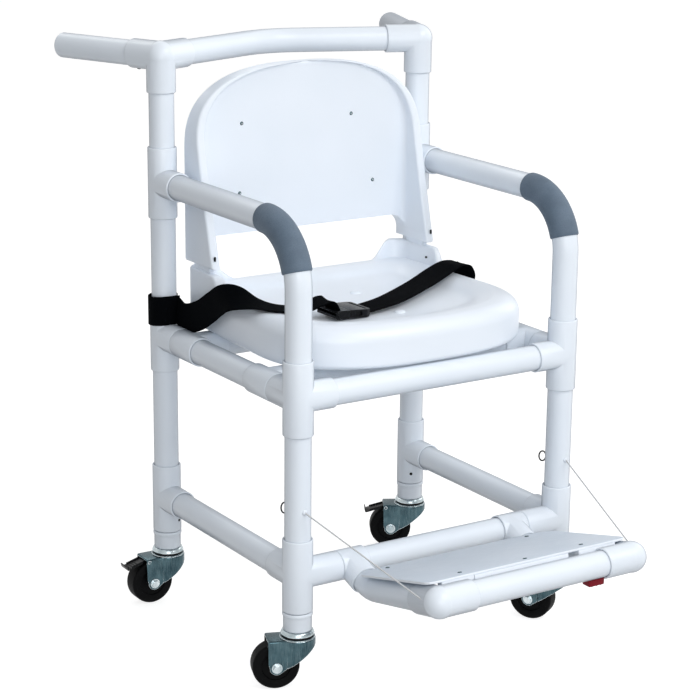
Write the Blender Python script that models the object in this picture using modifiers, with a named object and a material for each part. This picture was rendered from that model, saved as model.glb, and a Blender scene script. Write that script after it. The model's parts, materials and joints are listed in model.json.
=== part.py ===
"""Transfer chair: a plastic pipe frame on four swivel casters, with a moulded seat and backrest,
bent armrests, push handles, a fold-up footrest on two cords and a webbing lap belt.

Metres, +Z up, +X to the chair's left hand side as seen from the front, front towards -Y.
"""

import bmesh
import bpy
from math import acos, asin, atan2, cos, hypot, pi, radians, sin, tan, tau
from mathutils import Matrix, Vector

# Clearance and facets
CLEAR = 0.0003
SIDES = 12
WHEEL_SIDES = 24
SMALL_SIDES = 8
BALL_SIDES = 16

# Pipe and moulded fittings
PIPE_R = 0.0211
PIPE_WALL = 0.0036
HUB_WALL = 0.0022
BRANCH_ROOT = 0.0020
TEE_REACH = 0.0595
SOCKET_STOP_GAP = 0.0035
CORNER_STOP_GAP = 0.0090
BALL_SWELL = 0.0008

# Frame layout: post axes, then the heights of the rails' axes
POST_X = 0.2550
POST_Y = 0.2175
BASE_Z = 0.1860
SEAT_RAIL_Z = 0.4740
TOP_Z = 0.9460
ARM_DROP = 0.2090
SLEEVE_FOOT_Z = 0.0950
POST_RECESS = 0.0050
FRONT_BRANCH = 0.0724

# Armrests
ARM_BEND_R = 0.0950
ARM_BEND_STEPS = 6
GRIP_WALL = 0.0025
GRIP_LEAD = 0.0025
GRIP_END = 0.0030
GRIP_BEND_STEPS = 5

# Push bar and handles
TOP_TURN = radians(20.7)
HANDLE_REACH = 0.2230
HANDLE_ROUND = 0.0050
BAR_BEND_R = 0.1450
BAR_BEND_STEPS = 3

# Seat supports that slip on the side rails
SUPPORT_Y = 0.1225
SLIP_LENGTH = 0.0700

# Footrest
FOOT_PIVOT_X = 0.1575
FOOT_PIVOT_LENGTH = 0.0495
FOOT_BRANCH = 0.0480
FOOT_DROP = radians(18.0)
FOOT_BEND_R = 0.0600
FOOT_BEND_STEPS = 3
FOOT_CORNER_X = 0.1820
FOOT_REACH = 0.2815
FOOT_CORNER_Z = 0.2210
FOOT_SLOPE = radians(14.5)
ELBOW_REACH = 0.0575
ELBOW_STOP_GAP = 0.0090
PLATE_THICK = 0.0040
PLATE_HALF = 0.1900
PLATE_BACK = 0.0680
PLATE_SETBACK = 0.0128
PLATE_BACK_ROUND = 0.0350
PLATE_FRONT_ROUND = 0.0150
PLATE_ROUND_STEPS = 5
SHIM_X = 0.0700
SHIM_CLEAR = 0.0001
SHIM_SIZE = (0.0800, 0.0200)
BUMPER_SIZE = (0.0300, 0.0180, 0.0120)
BUMPER_SEAT = 0.0020

# Footrest cords
CORD_R = 0.0012
CORD_HOLE_R = 0.0019
CORD_Z = 0.2940
CORD_TAIL = 0.0080
CORD_END = (0.2020, 0.0140, 0.0020)

# Seat
SEAT_HALF = 0.2350
SEAT_REAR_HALF = 0.2225
SEAT_MID_Y = -0.0600
SEAT_FRONT = 0.1650
SEAT_FRONT_POWER = 2.6
SEAT_FRONT_STEPS = 8
SEAT_REAR_Y = 0.2075
SEAT_SIDE_SHARES = (0.0, 0.35, 0.54, 0.64, 0.76)
SEAT_CORNER_R = 0.0300
SEAT_CORNER_STEPS = 3
SEAT_HEIGHT = 0.0680
SEAT_ROUND = 0.0260
SEAT_DISH = 0.0130
SEAT_DISH_SHARES = ((2.25, 0.35), (3.0, 0.88), (3.9, 1.0))
SEAT_RIM_STEPS = 4
SEAT_WALL = 0.0040
SEAT_VENT_R = 0.0040
SEAT_VENT_XY = (0.1000, 0.0300)
EAR_RISE = 0.0300
EAR_WIDTH = 0.0175
EAR_FRONT_Y = 0.1050
EAR_FLOW = 0.0350
EAR_INNER = 0.8

# Backrest
BACK_HALF = 0.2225
BACK_REAR_Y = 0.2050
BACK_THICK = 0.0250
BACK_TOP_Z = 0.9260
BACK_SHOULDER = 0.1360
BACK_POWER = 2.6
BACK_SIDE_STEPS = 5
BACK_ARCH_STEPS = 8
BACK_ARCH = radians(84)
BACK_EDGE_Z = 0.6440
BACK_FOOT_GAP = 0.0080
BACK_RIM = 0.0165
BACK_ROUND = 0.0040
BACK_NOTCH_R = 0.0280
BACK_NOTCH_STEPS = 4
BACK_WALL = 0.0040
BACK_VENT_R = 0.0030
WING_FOOT_DEPTH = 0.0970
WING_TOP_DEPTH = 0.0290
WING_POWER = 1.25
TENON = (0.0085, 0.0520, 0.0250)
TENON_Y = 0.1515

# Lap belt
STRAP_WIDTH = 0.0500
STRAP_THICK = 0.0018
STRAP_STEPS = 4
STRAP_ENTRY = 0.0040
WRAP_START = radians(5)
WRAP_TURN = radians(290)
WRAP_STEPS = 12
WRAP_LIFT = 0.0035
WRAP_CLIMB = 2.4
BUCKLE_CENTRE = (-0.0765, -0.0860)
BUCKLE_TURN = radians(3.0)
BUCKLE_WIDTH = 0.0600
BUCKLE_THICK = 0.0130
BUCKLE_TILT = radians(4.0)
BUCKLE_LIFT = 0.0023
SOCKET_LENGTH = 0.0400
TONGUE_LENGTH = 0.0260
PRONG_LENGTH = 0.0240
PRONG_THICK = 0.0050
PRONG_SPREAD = 0.8
PRONG_WIDTH = 0.125
SLOT_HEIGHT = 2 * STRAP_THICK

# Ways of the two straps from their posts: a middle point, then the lean of the webbing's width
LEFT_STRAP = (
    ((-0.2415, 0.1450, 0.5230), (0.0, 0.10, 1.0)),
    ((-0.2415, 0.0700, 0.5530), (0.05, 0.25, 1.0)),
    ((-0.2420, 0.0150, 0.5740), (0.55, 0.45, 0.55)),
    ((-0.2150, -0.0240, 0.5775), (0.45, 0.90, 0.12)),
    ((-0.1700, -0.0500, 0.5730), (0.38, 0.92, 0.02)),
)
RIGHT_STRAP = (
    ((0.0100, -0.0700, 0.5640), (-0.30, 0.95, 0.0)),
    ((0.1010, -0.0200, 0.5680), (-0.45, 0.89, 0.0)),
    ((0.1850, 0.0300, 0.5740), (-0.50, 0.86, 0.02)),
    ((0.2300, 0.0500, 0.5790), (-0.60, 0.70, 0.20)),
    ((0.2440, 0.0750, 0.5650), (-0.30, 0.20, 0.90)),
    ((0.2420, 0.1350, 0.5300), (0.0, 0.10, 1.0)),
)

# Casters: size of the wheel and the fork, and where each one trails in the photograph
WHEEL_R = 0.0380
WHEEL_WIDTH = 0.0300
WHEEL_HUB_WIDTH = 0.0360
WHEEL_ROUND = 0.0050
TRAIL = 0.0360
FORK_INNER = 0.0370
FORK_SHEET = 0.0025
FORK_TOP_Z = 0.0830
FORK_TAIL = 0.0500
FORK_FOOT_STEPS = 6
CROWN_STEPS = 12
CROWN_R = 0.0290
CROWN_DEPTH = 0.0110
AXLE_BOSS_R = 0.0115
AXLE_R = 0.0040
AXLE_HEAD_R = 0.0075
AXLE_HEAD = 0.0040
KINGPIN_R = 0.0062
KING_NUT_R = 0.0095
KING_NUT = 0.0040
RACE_R = 0.0270
PLUG_LENGTH = 0.0400
CASTER_TURN = {
    "front_left": radians(159),
    "rear_left": radians(179),
    "front_right": radians(120),
    "rear_right": radians(150),
}

# Brake pedals on the rear casters
PEDAL_PIN_R = 0.0016
PEDAL_PIN_X = 0.0455
PEDAL_PIN_DROP = 0.0048
PEDAL_LENGTH = 0.0380
PEDAL_WIDTH = 0.0260
PEDAL_THICK = 0.0022
PEDAL_SLOPE = radians(16)
PEDAL_LIP = 0.0070

# Worked out from the sizes above
FLAT = cos(pi / SIDES)
ARM_Z = TOP_Z - ARM_DROP
BORE_R = (PIPE_R + CLEAR) / FLAT
SLIP_R = PIPE_R + CLEAR / FLAT
HUB_R = BORE_R + HUB_WALL
PIPE_BORE_R = PIPE_R - PIPE_WALL
SOCKET_STOP = PIPE_R + SOCKET_STOP_GAP
CORNER_STOP = PIPE_R + CORNER_STOP_GAP
ELBOW_STOP = PIPE_R + ELBOW_STOP_GAP
POST_FOOT_Z = SLEEVE_FOOT_Z + POST_RECESS
BAR_RUN = FOOT_REACH / cos(FOOT_SLOPE)
PLATE_FRONT = BAR_RUN - PLATE_SETBACK
SEAT_Z = SEAT_RAIL_Z + HUB_R * FLAT + CLEAR
SEAT_TOP_Z = SEAT_Z + SEAT_HEIGHT
EAR_TOP_Z = SEAT_TOP_Z + EAR_RISE
BACK_FOOT_Z = EAR_TOP_Z + BACK_FOOT_GAP
BACK_FRONT_Y = BACK_REAR_Y - BACK_THICK
BELT_Z = SEAT_Z + STRAP_WIDTH / 2 - WRAP_LIFT
HANDLE_SOFT = HANDLE_ROUND / 4
HANDLE_END_Y = (POST_Y + (HANDLE_REACH - HANDLE_SOFT) * cos(TOP_TURN)
                + (PIPE_R - HANDLE_SOFT) * sin(TOP_TURN))
FOOT_FRONT_Y = -POST_Y - FOOT_REACH - HUB_R - BALL_SWELL
MIDDLE_Y = -(HANDLE_END_Y + FOOT_FRONT_Y) / 2
UP = Vector((0, 0, 1))
DOWN = -UP
AHEAD = Vector((0, -1, 0))
BEHIND = -AHEAD
RIGHTWARD = Vector((1, 0, 0))
BALL_POLE = (1, 2, 3)


# Scene, collections and materials


def clear_scene():
    for obj in list(bpy.data.objects):
        bpy.data.objects.remove(obj)


def new_collection(name):
    collection = bpy.data.collections.new(name)
    bpy.context.scene.collection.children.link(collection)
    return collection


def make_material(name, colour, roughness, metallic=0.0):
    material = bpy.data.materials.new(name)
    material.use_nodes = True
    shader = material.node_tree.nodes["Principled BSDF"]
    shader.inputs["Base Color"].default_value = (*colour, 1)
    shader.inputs["Roughness"].default_value = roughness
    shader.inputs["Metallic"].default_value = metallic
    material.diffuse_color = (*colour, 1)
    return material


clear_scene()
PARTS = new_collection("transfer_chair")
CUTTERS = new_collection("cutters")
PVC = make_material("white_pvc", (0.80, 0.83, 0.88), 0.35)
MOULDED = make_material("white_moulded", (0.82, 0.85, 0.90), 0.40)
GRIP = make_material("slate_grip", (0.10, 0.15, 0.20), 0.60)
PLATE = make_material("grey_plate", (0.58, 0.63, 0.70), 0.45)
WEBBING = make_material("black_webbing", (0.012, 0.012, 0.014), 0.80)
BUCKLE = make_material("black_plastic", (0.015, 0.015, 0.018), 0.35)
ZINC = make_material("zinc_plate", (0.42, 0.50, 0.54), 0.30, 0.9)
TREAD = make_material("black_tread", (0.010, 0.010, 0.012), 0.55)
CORD = make_material("cord", (0.62, 0.63, 0.64), 0.50)
RED = make_material("dark_red", (0.22, 0.01, 0.02), 0.50)


def dress(obj, material):
    obj.data.materials.clear()
    obj.data.materials.append(material)


def add(name, mesh, material=None, parent=None, at=None):
    """A node of the chair, placed under its parent."""
    obj = bpy.data.objects.new(name, mesh)
    PARTS.objects.link(obj)
    obj.parent = parent
    if at is not None:
        obj.matrix_local = at
    if material is not None:
        dress(obj, material)
    return obj


def add_cutter(name, mesh, parent, at=None):
    """A helper shape that only joins or cuts its parent."""
    obj = bpy.data.objects.new(name, mesh)
    CUTTERS.objects.link(obj)
    obj.parent = parent
    if at is not None:
        obj.matrix_local = at
    obj.hide_render = True
    obj.display_type = "WIRE"
    return obj


def add_empty(name, parent=None, at=None):
    obj = bpy.data.objects.new(name, None)
    PARTS.objects.link(obj)
    obj.parent = parent
    if at is not None:
        obj.matrix_local = at
    return obj


def combine(body, other, operation):
    step = body.modifiers.new(other.name, "BOOLEAN")
    step.operation = operation
    step.object = other


def join(body, mesh, name, at=None):
    combine(body, add_cutter(name, mesh, body, at), "UNION")


def cut(body, mesh, name, at=None):
    combine(body, add_cutter(name, mesh, body, at), "DIFFERENCE")


def cut_together(body, name, pieces):
    """Cuts the union of several (mesh, place) pieces in one step."""
    mesh, at = pieces[0]
    tool = add_cutter(name, mesh, body, at)
    for index, (mesh, place) in enumerate(pieces[1:]):
        join(tool, mesh, f"{name}_{index}", at.inverted() @ place)
    combine(body, tool, "DIFFERENCE")


def solve_closed(body):
    """Takes the solver for closed meshes in the body's Booleans and in its cutters' own."""
    for step in body.modifiers:
        step.solver = "MANIFOLD"
        for inner in step.object.modifiers:
            inner.solver = "MANIFOLD"


# Placement


def shift(x, y, z):
    return Matrix.Translation((x, y, z))


def aim(direction, at=(0, 0, 0), twist=0.0):
    """Local Z along the direction and local X level."""
    z = Vector(direction).normalized()
    x = UP.cross(z)
    if x.length < 1e-6:
        x = RIGHTWARD.copy()
    x.normalize()
    y = z.cross(x)
    place = Matrix((x, y, z)).transposed().to_4x4()
    place.translation = at
    return place @ Matrix.Rotation(twist, 4, "Z")


# Meshes


def smooth(mesh):
    mesh.shade_smooth()
    mesh.set_sharp_from_angle(angle=radians(35))
    return mesh


def mesh_of(guide):
    """The evaluated mesh of a helper object, which is then removed."""
    PARTS.objects.link(guide)
    bpy.context.view_layer.update()
    graph = bpy.context.evaluated_depsgraph_get()
    mesh = bpy.data.meshes.new_from_object(guide.evaluated_get(graph))
    bpy.data.objects.remove(guide)
    weld(mesh)
    return mesh


def weld(mesh):
    work = bmesh.new()
    work.from_mesh(mesh)
    bmesh.ops.remove_doubles(work, verts=work.verts, dist=1e-6)
    work.to_mesh(mesh)
    work.free()


def turned(profile, sides=SIDES):
    """A solid turned about Z from (radius, height) points that run down its outer side."""
    line = bpy.data.meshes.new("profile")
    points = [(radius, 0, height) for radius, height in profile]
    line.from_pydata(points, [(i, i + 1) for i in range(len(points) - 1)], [])
    guide = bpy.data.objects.new("profile", line)
    screw = guide.modifiers.new("turn", "SCREW")
    screw.steps = sides
    screw.render_steps = sides
    screw.use_merge_vertices = True
    screw.merge_threshold = 0.00001
    return smooth(mesh_of(guide))


def cylinder(radius, low, high, sides=SIDES):
    return turned([(0, high), (radius, high), (radius, low), (0, low)], sides)


def ball(radius, sides=BALL_SIDES):
    mesh = bpy.data.meshes.new("ball")
    work = bmesh.new()
    bmesh.ops.create_uvsphere(work, u_segments=sides, v_segments=sides // 2, radius=radius)
    work.to_mesh(mesh)
    work.free()
    return smooth(mesh)


def box(size, round_edges=0.0):
    mesh = bpy.data.meshes.new("box")
    work = bmesh.new()
    bmesh.ops.create_cube(work, size=1)
    bmesh.ops.scale(work, vec=size, verts=work.verts)
    if round_edges:
        bmesh.ops.bevel(work, geom=work.edges[:], offset=round_edges, segments=1, affect="EDGES")
    work.to_mesh(mesh)
    work.free()
    return mesh


def prism(outline, low, high):
    """A flat outline in XY, filled and raised from low to high."""
    curve = bpy.data.curves.new("outline", "CURVE")
    curve.dimensions = "2D"
    curve.fill_mode = "BOTH"
    curve.extrude = (high - low) / 2
    spline = curve.splines.new("POLY")
    spline.points.add(len(outline) - 1)
    for point, (x, y) in zip(spline.points, outline):
        point.co = (x, y, 0, 1)
    spline.use_cyclic_u = True
    mesh = mesh_of(bpy.data.objects.new("outline", curve))
    mesh.transform(shift(0, 0, (low + high) / 2))
    return mesh


def swept(path, radius, capped=True, sides=SIDES):
    """A round bar, or an open tube surface, along a path."""
    curve = bpy.data.curves.new("path", "CURVE")
    curve.dimensions = "3D"
    curve.bevel_depth = radius
    curve.bevel_resolution = sides // 2 - 2
    curve.use_fill_caps = capped
    spline = curve.splines.new("POLY")
    spline.points.add(len(path) - 1)
    for point, place in zip(spline.points, path):
        point.co = (*place, 1)
    return smooth(mesh_of(bpy.data.objects.new("path", curve)))


def lofted(rings):
    """A closed skin through rings of equally many points, each ring running the same way round."""
    count = len(rings[0])
    mesh = bpy.data.meshes.new("loft")
    work = bmesh.new()
    verts = [[work.verts.new(point) for point in ring] for ring in rings]
    for low, high in zip(verts, verts[1:]):
        for i in range(count):
            j = (i + 1) % count
            work.faces.new((low[i], low[j], high[j], high[i]))
    work.faces.new(verts[0][::-1])
    work.faces.new(verts[-1])
    bmesh.ops.recalc_face_normals(work, faces=work.faces)
    bmesh.ops.triangulate(work, faces=[face for face in work.faces if len(face.verts) > 4])
    work.to_mesh(mesh)
    work.free()
    return smooth(mesh)


# Paths


def rounded(points, radius, steps):
    """A line through the points with each inner corner turned to an arc."""
    points = [Vector(point) for point in points]
    path = [points[0]]
    for before, corner, after in zip(points, points[1:], points[2:]):
        back = (before - corner).normalized()
        out = (after - corner).normalized()
        half = back.angle(out) / 2
        centre = corner + (back + out).normalized() * radius / sin(half)
        start = corner + back * radius / tan(half)
        end = corner + out * radius / tan(half)
        first = start - centre
        last = end - centre
        sweep = first.angle(last)
        for step in range(steps + 1):
            share = step / steps
            path.append(
                centre
                + first * sin((1 - share) * sweep) / sin(sweep)
                + last * sin(share * sweep) / sin(sweep)
            )
    path.append(points[-1])
    return path


def stretch(path, start, end):
    """The piece of a path between two distances along it."""
    piece = []
    run = 0.0
    for a, b in zip(path, path[1:]):
        length = (b - a).length
        for mark in (start, end):
            if run <= mark <= run + length:
                piece.append((mark, a.lerp(b, (mark - run) / length)))
        run += length
        if start < run < end:
            piece.append((run, b))
    piece.sort(key=lambda entry: entry[0])
    return [point for _, point in piece]


# Pipes and fittings


def pipe(name, path, parent, material=PVC, radius=PIPE_R, wall=PIPE_WALL):
    """A hollow pipe with open ends."""
    obj = add(name, swept(path, radius, capped=False), material, parent)
    shell = obj.modifiers.new("wall", "SOLIDIFY")
    shell.thickness = wall
    shell.offset = -1
    shell.use_even_offset = True
    return obj


def hub_mesh(back, ahead):
    """One socket hub along Z. A branch, which has no reach back, is rooted just behind the middle."""
    return cylinder(HUB_R, -(back or BRANCH_ROOT), ahead)


def branch_bore(reach):
    """The bore of a branch. It takes its pipe at any turn about the pipe's axis."""
    return cylinder(BORE_R, -BRANCH_ROOT, reach + HUB_WALL)


def run_bore(back, ahead):
    """The bore of a run, whose facets line up with those of the pipe in it."""
    return cylinder(SLIP_R, -back - HUB_WALL if back else -BRANCH_ROOT, ahead + HUB_WALL)


def turning_bore(half):
    """The bore of a hub that turns on its rail, so that no edge of the rail meets a flat."""
    return cylinder(BORE_R, -half - HUB_WALL, half + HUB_WALL)


def fitting(name, at, run, branches, parent, with_ball=False):
    """A moulded fitting: hubs joined at its middle, then bored for the pipes.

    run is (direction, reach back, reach ahead), and each branch is (direction, reach).
    """
    direction, back, ahead = run
    body = add(name, hub_mesh(back, ahead), PVC, parent, shift(*at) @ aim(direction))
    local = aim(direction).inverted()
    twist = pi / SIDES
    for index, (way, reach) in enumerate(branches):
        join(body, hub_mesh(0, reach), f"{name}_hub_{index}", local @ aim(way, twist=twist))
    if with_ball:
        join(body, ball(HUB_R + BALL_SWELL), f"{name}_ball", local @ ball_aim(at[0]))
    bores = [(run_bore(back, ahead), Matrix())]
    bores += [(branch_bore(reach), local @ aim(way, twist=twist)) for way, reach in branches]
    cut_together(body, f"{name}_bores", bores)
    solve_closed(body)


def ball_aim(x, at=(0, 0, 0)):
    """A slanting pole, alike on both sides, so that the ball's facets meet no hub's edge line."""
    pole = Vector(BALL_POLE)
    pole.x *= 1 if x > 0 else -1
    return aim(pole, at)


def post_tees(side, mark, chair):
    """The fittings threaded on one rear post and one front post."""
    x = side * POST_X
    inward = Vector((-side, 0, 0))
    foot = BASE_Z - SLEEVE_FOOT_Z
    fitting(f"rear_base_tee_{mark}", (x, POST_Y, BASE_Z), (UP, foot, TEE_REACH),
            [(AHEAD, TEE_REACH)], chair)
    fitting(f"rear_seat_tee_{mark}", (x, POST_Y, SEAT_RAIL_Z), (UP, TEE_REACH, TEE_REACH),
            [(AHEAD, TEE_REACH)], chair)
    fitting(f"arm_tee_{mark}", (x, POST_Y, ARM_Z), (UP, TEE_REACH, TEE_REACH),
            [(AHEAD, TEE_REACH)], chair)
    fitting(f"front_base_tee_{mark}", (x, -POST_Y, BASE_Z), (UP, foot, TEE_REACH),
            [(BEHIND, TEE_REACH), (inward, FRONT_BRANCH)], chair)
    fitting(f"front_seat_tee_{mark}", (x, -POST_Y, SEAT_RAIL_Z), (UP, TEE_REACH, TEE_REACH),
            [(BEHIND, TEE_REACH), (inward, TEE_REACH)], chair)


def top_directions(side):
    """Ways of the crossbar and the handle out of one top corner."""
    across = Vector((-side * cos(TOP_TURN), sin(TOP_TURN), 0))
    rearward = Vector((side * sin(TOP_TURN), cos(TOP_TURN), 0))
    return across, rearward


def push_handle(side, mark, chair):
    """A capped pipe that points back and a little outward from its corner fitting."""
    _, rearward = top_directions(side)
    profile = [
        (0, HANDLE_REACH),
        (PIPE_R - HANDLE_ROUND, HANDLE_REACH),
        (PIPE_R - HANDLE_SOFT, HANDLE_REACH - HANDLE_SOFT),
        (PIPE_R, HANDLE_REACH - HANDLE_ROUND),
        (PIPE_R, CORNER_STOP),
        (PIPE_BORE_R, CORNER_STOP),
        (PIPE_BORE_R, HANDLE_REACH - HANDLE_ROUND),
        (0, HANDLE_REACH - HANDLE_ROUND),
    ]
    place = aim(rearward, (side * POST_X, POST_Y, TOP_Z))
    add(f"push_handle_{mark}", turned(profile), PVC, chair, place)


def push_bar(chair):
    """The crossbar between the corner fittings, bowed back in the middle."""
    ends = []
    for side in (-1, 1):
        across, _ = top_directions(side)
        ends.append(Vector((side * POST_X, POST_Y, TOP_Z)) + across * CORNER_STOP)
    apex = (0, POST_Y + POST_X * tan(TOP_TURN), TOP_Z)
    pipe("push_bar", rounded([ends[0], apex, ends[1]], BAR_BEND_R, BAR_BEND_STEPS), chair)


def cord_hole(side):
    """Middle of the hole that a footrest cord takes through its front post."""
    return side * POST_X, -POST_Y, CORD_Z


def armrest(side, mark, chair):
    """A bent pipe: the arm, its front bend and the front post in one, with a sleeve on the bend."""
    x = side * POST_X
    path = rounded(
        [(x, POST_Y - SOCKET_STOP, ARM_Z), (x, -POST_Y, ARM_Z), (x, -POST_Y, POST_FOOT_Z)],
        ARM_BEND_R,
        ARM_BEND_STEPS,
    )
    arm = pipe(f"armrest_{mark}", path, chair)
    hole = cylinder(CORD_HOLE_R, -2 * PIPE_R, 2 * PIPE_R, SMALL_SIDES)
    cut(arm, hole, f"armrest_{mark}_cord_hole", aim(AHEAD, cord_hole(side)))
    straight = (path[1] - path[0]).length
    step = (path[2] - path[1]).length
    sleeve = stretch(path, straight - GRIP_LEAD, straight + GRIP_BEND_STEPS * step - GRIP_END)
    pipe(f"arm_grip_{mark}", sleeve, chair, GRIP, SLIP_R + GRIP_WALL, GRIP_WALL)


def frame_pipes(side, mark, chair):
    x = side * POST_X
    y = POST_Y - SOCKET_STOP
    top = TOP_Z - CORNER_STOP
    pipe(f"back_post_{mark}", [Vector((x, POST_Y, POST_FOOT_Z)), Vector((x, POST_Y, top))], chair)
    for name, z in (("seat_side_rail", SEAT_RAIL_Z), ("base_side_rail", BASE_Z)):
        pipe(f"{name}_{mark}", [Vector((x, -y, z)), Vector((x, y, z))], chair)


def cross_rails(chair):
    x = POST_X - SOCKET_STOP
    for name, z in (("front_seat_rail", SEAT_RAIL_Z), ("base_front_rail", BASE_Z)):
        pipe(name, [Vector((-x, -POST_Y, z)), Vector((x, -POST_Y, z))], chair)


def seat_support(name, y, chair):
    """A cross rail with a slip tee at each end, threaded on the seat's side rails."""
    half = SLIP_LENGTH / 2
    twist = pi / SIDES
    reach = POST_X - PIPE_WALL
    body = add(name, swept([Vector((-reach, 0, 0)), Vector((reach, 0, 0))], PIPE_R), PVC,
               chair, shift(0, y, SEAT_RAIL_Z))
    for side in (-1, 1):
        end = (side * POST_X, 0, 0)
        inward = (-side, 0, 0)
        join(body, hub_mesh(half, half), f"{name}_slip_{side}", aim(BEHIND, end))
        join(body, hub_mesh(0, TEE_REACH), f"{name}_branch_{side}", aim(inward, end, twist))
    bores = [(cylinder(PIPE_BORE_R, -reach, reach), aim(RIGHTWARD))]
    bores += [(run_bore(half, half), aim(BEHIND, (side * POST_X, 0, 0))) for side in (-1, 1)]
    cut_together(body, f"{name}_bores", bores)


# Seat


def superellipse(angle, half, reach, power):
    across = half * abs(cos(angle)) ** (2 / power)
    along = reach * abs(sin(angle)) ** (2 / power)
    return across, along


def seat_half_outline():
    """Right half of the seat's plan, from the middle of its front to the middle of its rear."""
    points = []
    for step in range(SEAT_FRONT_STEPS):
        angle = pi / 2 * (1 - step / SEAT_FRONT_STEPS)
        across, along = superellipse(angle, SEAT_HALF, SEAT_FRONT, SEAT_FRONT_POWER)
        points.append((across, SEAT_MID_Y - along))
    corner_y = SEAT_REAR_Y - SEAT_CORNER_R
    for share in SEAT_SIDE_SHARES:
        y = SEAT_MID_Y + (corner_y - SEAT_MID_Y) * share
        points.append((SEAT_HALF + (SEAT_REAR_HALF - SEAT_HALF) * share, y))
    for step in range(SEAT_CORNER_STEPS + 1):
        angle = pi / 2 * step / SEAT_CORNER_STEPS
        points.append((
            SEAT_REAR_HALF - SEAT_CORNER_R * (1 - cos(angle)),
            corner_y + SEAT_CORNER_R * sin(angle),
        ))
    for share in (EAR_INNER, 0.0):
        points.append(((SEAT_REAR_HALF - SEAT_CORNER_R) * share, SEAT_REAR_Y))
    points[0] = (0.0, SEAT_MID_Y - SEAT_FRONT)
    return points


def seat_outline():
    right = seat_half_outline()
    left = [(-x, y) for x, y in reversed(right[1:-1])]
    return right + left


def smoothstep(value):
    value = min(max(value, 0.0), 1.0)
    return value * value * (3 - 2 * value)


def ear_share(x, y):
    """How far the rim at this place has risen into a rear corner's ear."""
    along = smoothstep((y - EAR_FRONT_Y + EAR_FLOW) / EAR_FLOW)
    inner = SEAT_REAR_HALF - SEAT_CORNER_R
    across = smoothstep((abs(x) / inner - EAR_INNER) / (1 - EAR_INNER))
    return along * across


def rim_profiles():
    """(inset, height) points of the plain rounded rim, and of the thin ear, point for point."""
    plain = []
    for step in range(SEAT_RIM_STEPS + 1):
        angle = pi / 2 * step / SEAT_RIM_STEPS
        plain.append((SEAT_ROUND * (1 - cos(angle)), SEAT_TOP_Z - SEAT_ROUND * (1 - sin(angle))))
    plain.append((SEAT_ROUND * 1.5, SEAT_TOP_Z))
    soft = EAR_WIDTH / 4
    ear = [
        (0.0, EAR_TOP_Z - soft),
        (soft * 0.3, EAR_TOP_Z - soft * 0.3),
        (soft, EAR_TOP_Z),
        (EAR_WIDTH - soft, EAR_TOP_Z),
        (EAR_WIDTH - soft * 0.2, EAR_TOP_Z - soft),
        (EAR_WIDTH + soft, SEAT_TOP_Z),
    ]
    return plain, ear


def seat_ring(inset, height, outline):
    """The outline drawn in towards the seat's middle by an inset."""
    middle_y = (SEAT_REAR_Y + SEAT_MID_Y - SEAT_FRONT) / 2
    half_y = (SEAT_REAR_Y - SEAT_MID_Y + SEAT_FRONT) / 2
    return [
        (x * (1 - inset / SEAT_HALF), middle_y + (y - middle_y) * (1 - inset / half_y), height)
        for x, y in outline
    ]


def blended_ring(plain, ear, outline):
    low = seat_ring(*plain, outline)
    high = seat_ring(*ear, outline)
    ring = []
    for (x, y), a, b in zip(outline, low, high):
        share = ear_share(x, y)
        ring.append(tuple(p + (q - p) * share for p, q in zip(a, b)))
    return ring


def dish_steps(depth):
    """(inset, drop) of the dish from the rim inwards."""
    return [(SEAT_ROUND * inset, depth * drop) for inset, drop in SEAT_DISH_SHARES]


def seat(chair):
    """Blow-moulded seat: a hollow dished body whose rear corners rise into ears."""
    outline = seat_outline()
    soft = SEAT_ROUND / 3
    rings = [seat_ring(soft, SEAT_Z, outline), seat_ring(0, SEAT_Z + soft, outline)]
    plain, ear = rim_profiles()
    rings += [blended_ring(a, b, outline) for a, b in zip(plain, ear)]
    rings += [seat_ring(inset, SEAT_TOP_Z - drop, outline) for inset, drop in dish_steps(SEAT_DISH)]
    body = add("seat", lofted(rings), MOULDED, chair)
    hollow = [
        seat_ring(SEAT_WALL + soft, SEAT_Z + SEAT_WALL, outline),
        seat_ring(SEAT_WALL, SEAT_Z + SEAT_WALL + soft, outline),
        seat_ring(SEAT_WALL, SEAT_TOP_Z - SEAT_ROUND, outline),
        seat_ring(SEAT_ROUND * 0.45, SEAT_TOP_Z - SEAT_ROUND * 0.45, outline),
        seat_ring(SEAT_ROUND, SEAT_TOP_Z - SEAT_WALL, outline),
    ]
    hollow += [
        seat_ring(inset, SEAT_TOP_Z - drop - SEAT_WALL, outline)
        for inset, drop in dish_steps(SEAT_DISH)
    ]
    cut(body, lofted(hollow), "seat_hollow")
    vent_x, vent_y = SEAT_VENT_XY
    for side in (-1, 1):
        vent = cylinder(SEAT_VENT_R, -SEAT_WALL, 2 * SEAT_WALL, SMALL_SIDES)
        cut(body, vent, f"seat_vent_{side}", shift(side * vent_x, vent_y, SEAT_Z))
        slot = box([size + 2 * CLEAR for size in TENON])
        cut(body, slot, f"seat_mortise_{side}", shift(side * tenon_x(), TENON_Y, tenon_z() + CLEAR))


# Backrest


def tenon_x():
    return SEAT_REAR_HALF - EAR_WIDTH / 2


def tenon_z():
    """Middle height of the tenon, whose lower end stops just above the mortise's floor."""
    return EAR_TOP_Z - TENON[2] / 2


def wing_depth(share):
    """How far the rim stands ahead of the rear face, from the foot (0) to the top (1)."""
    return WING_TOP_DEPTH + (WING_FOOT_DEPTH - WING_TOP_DEPTH) * (1 - share) ** WING_POWER


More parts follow.
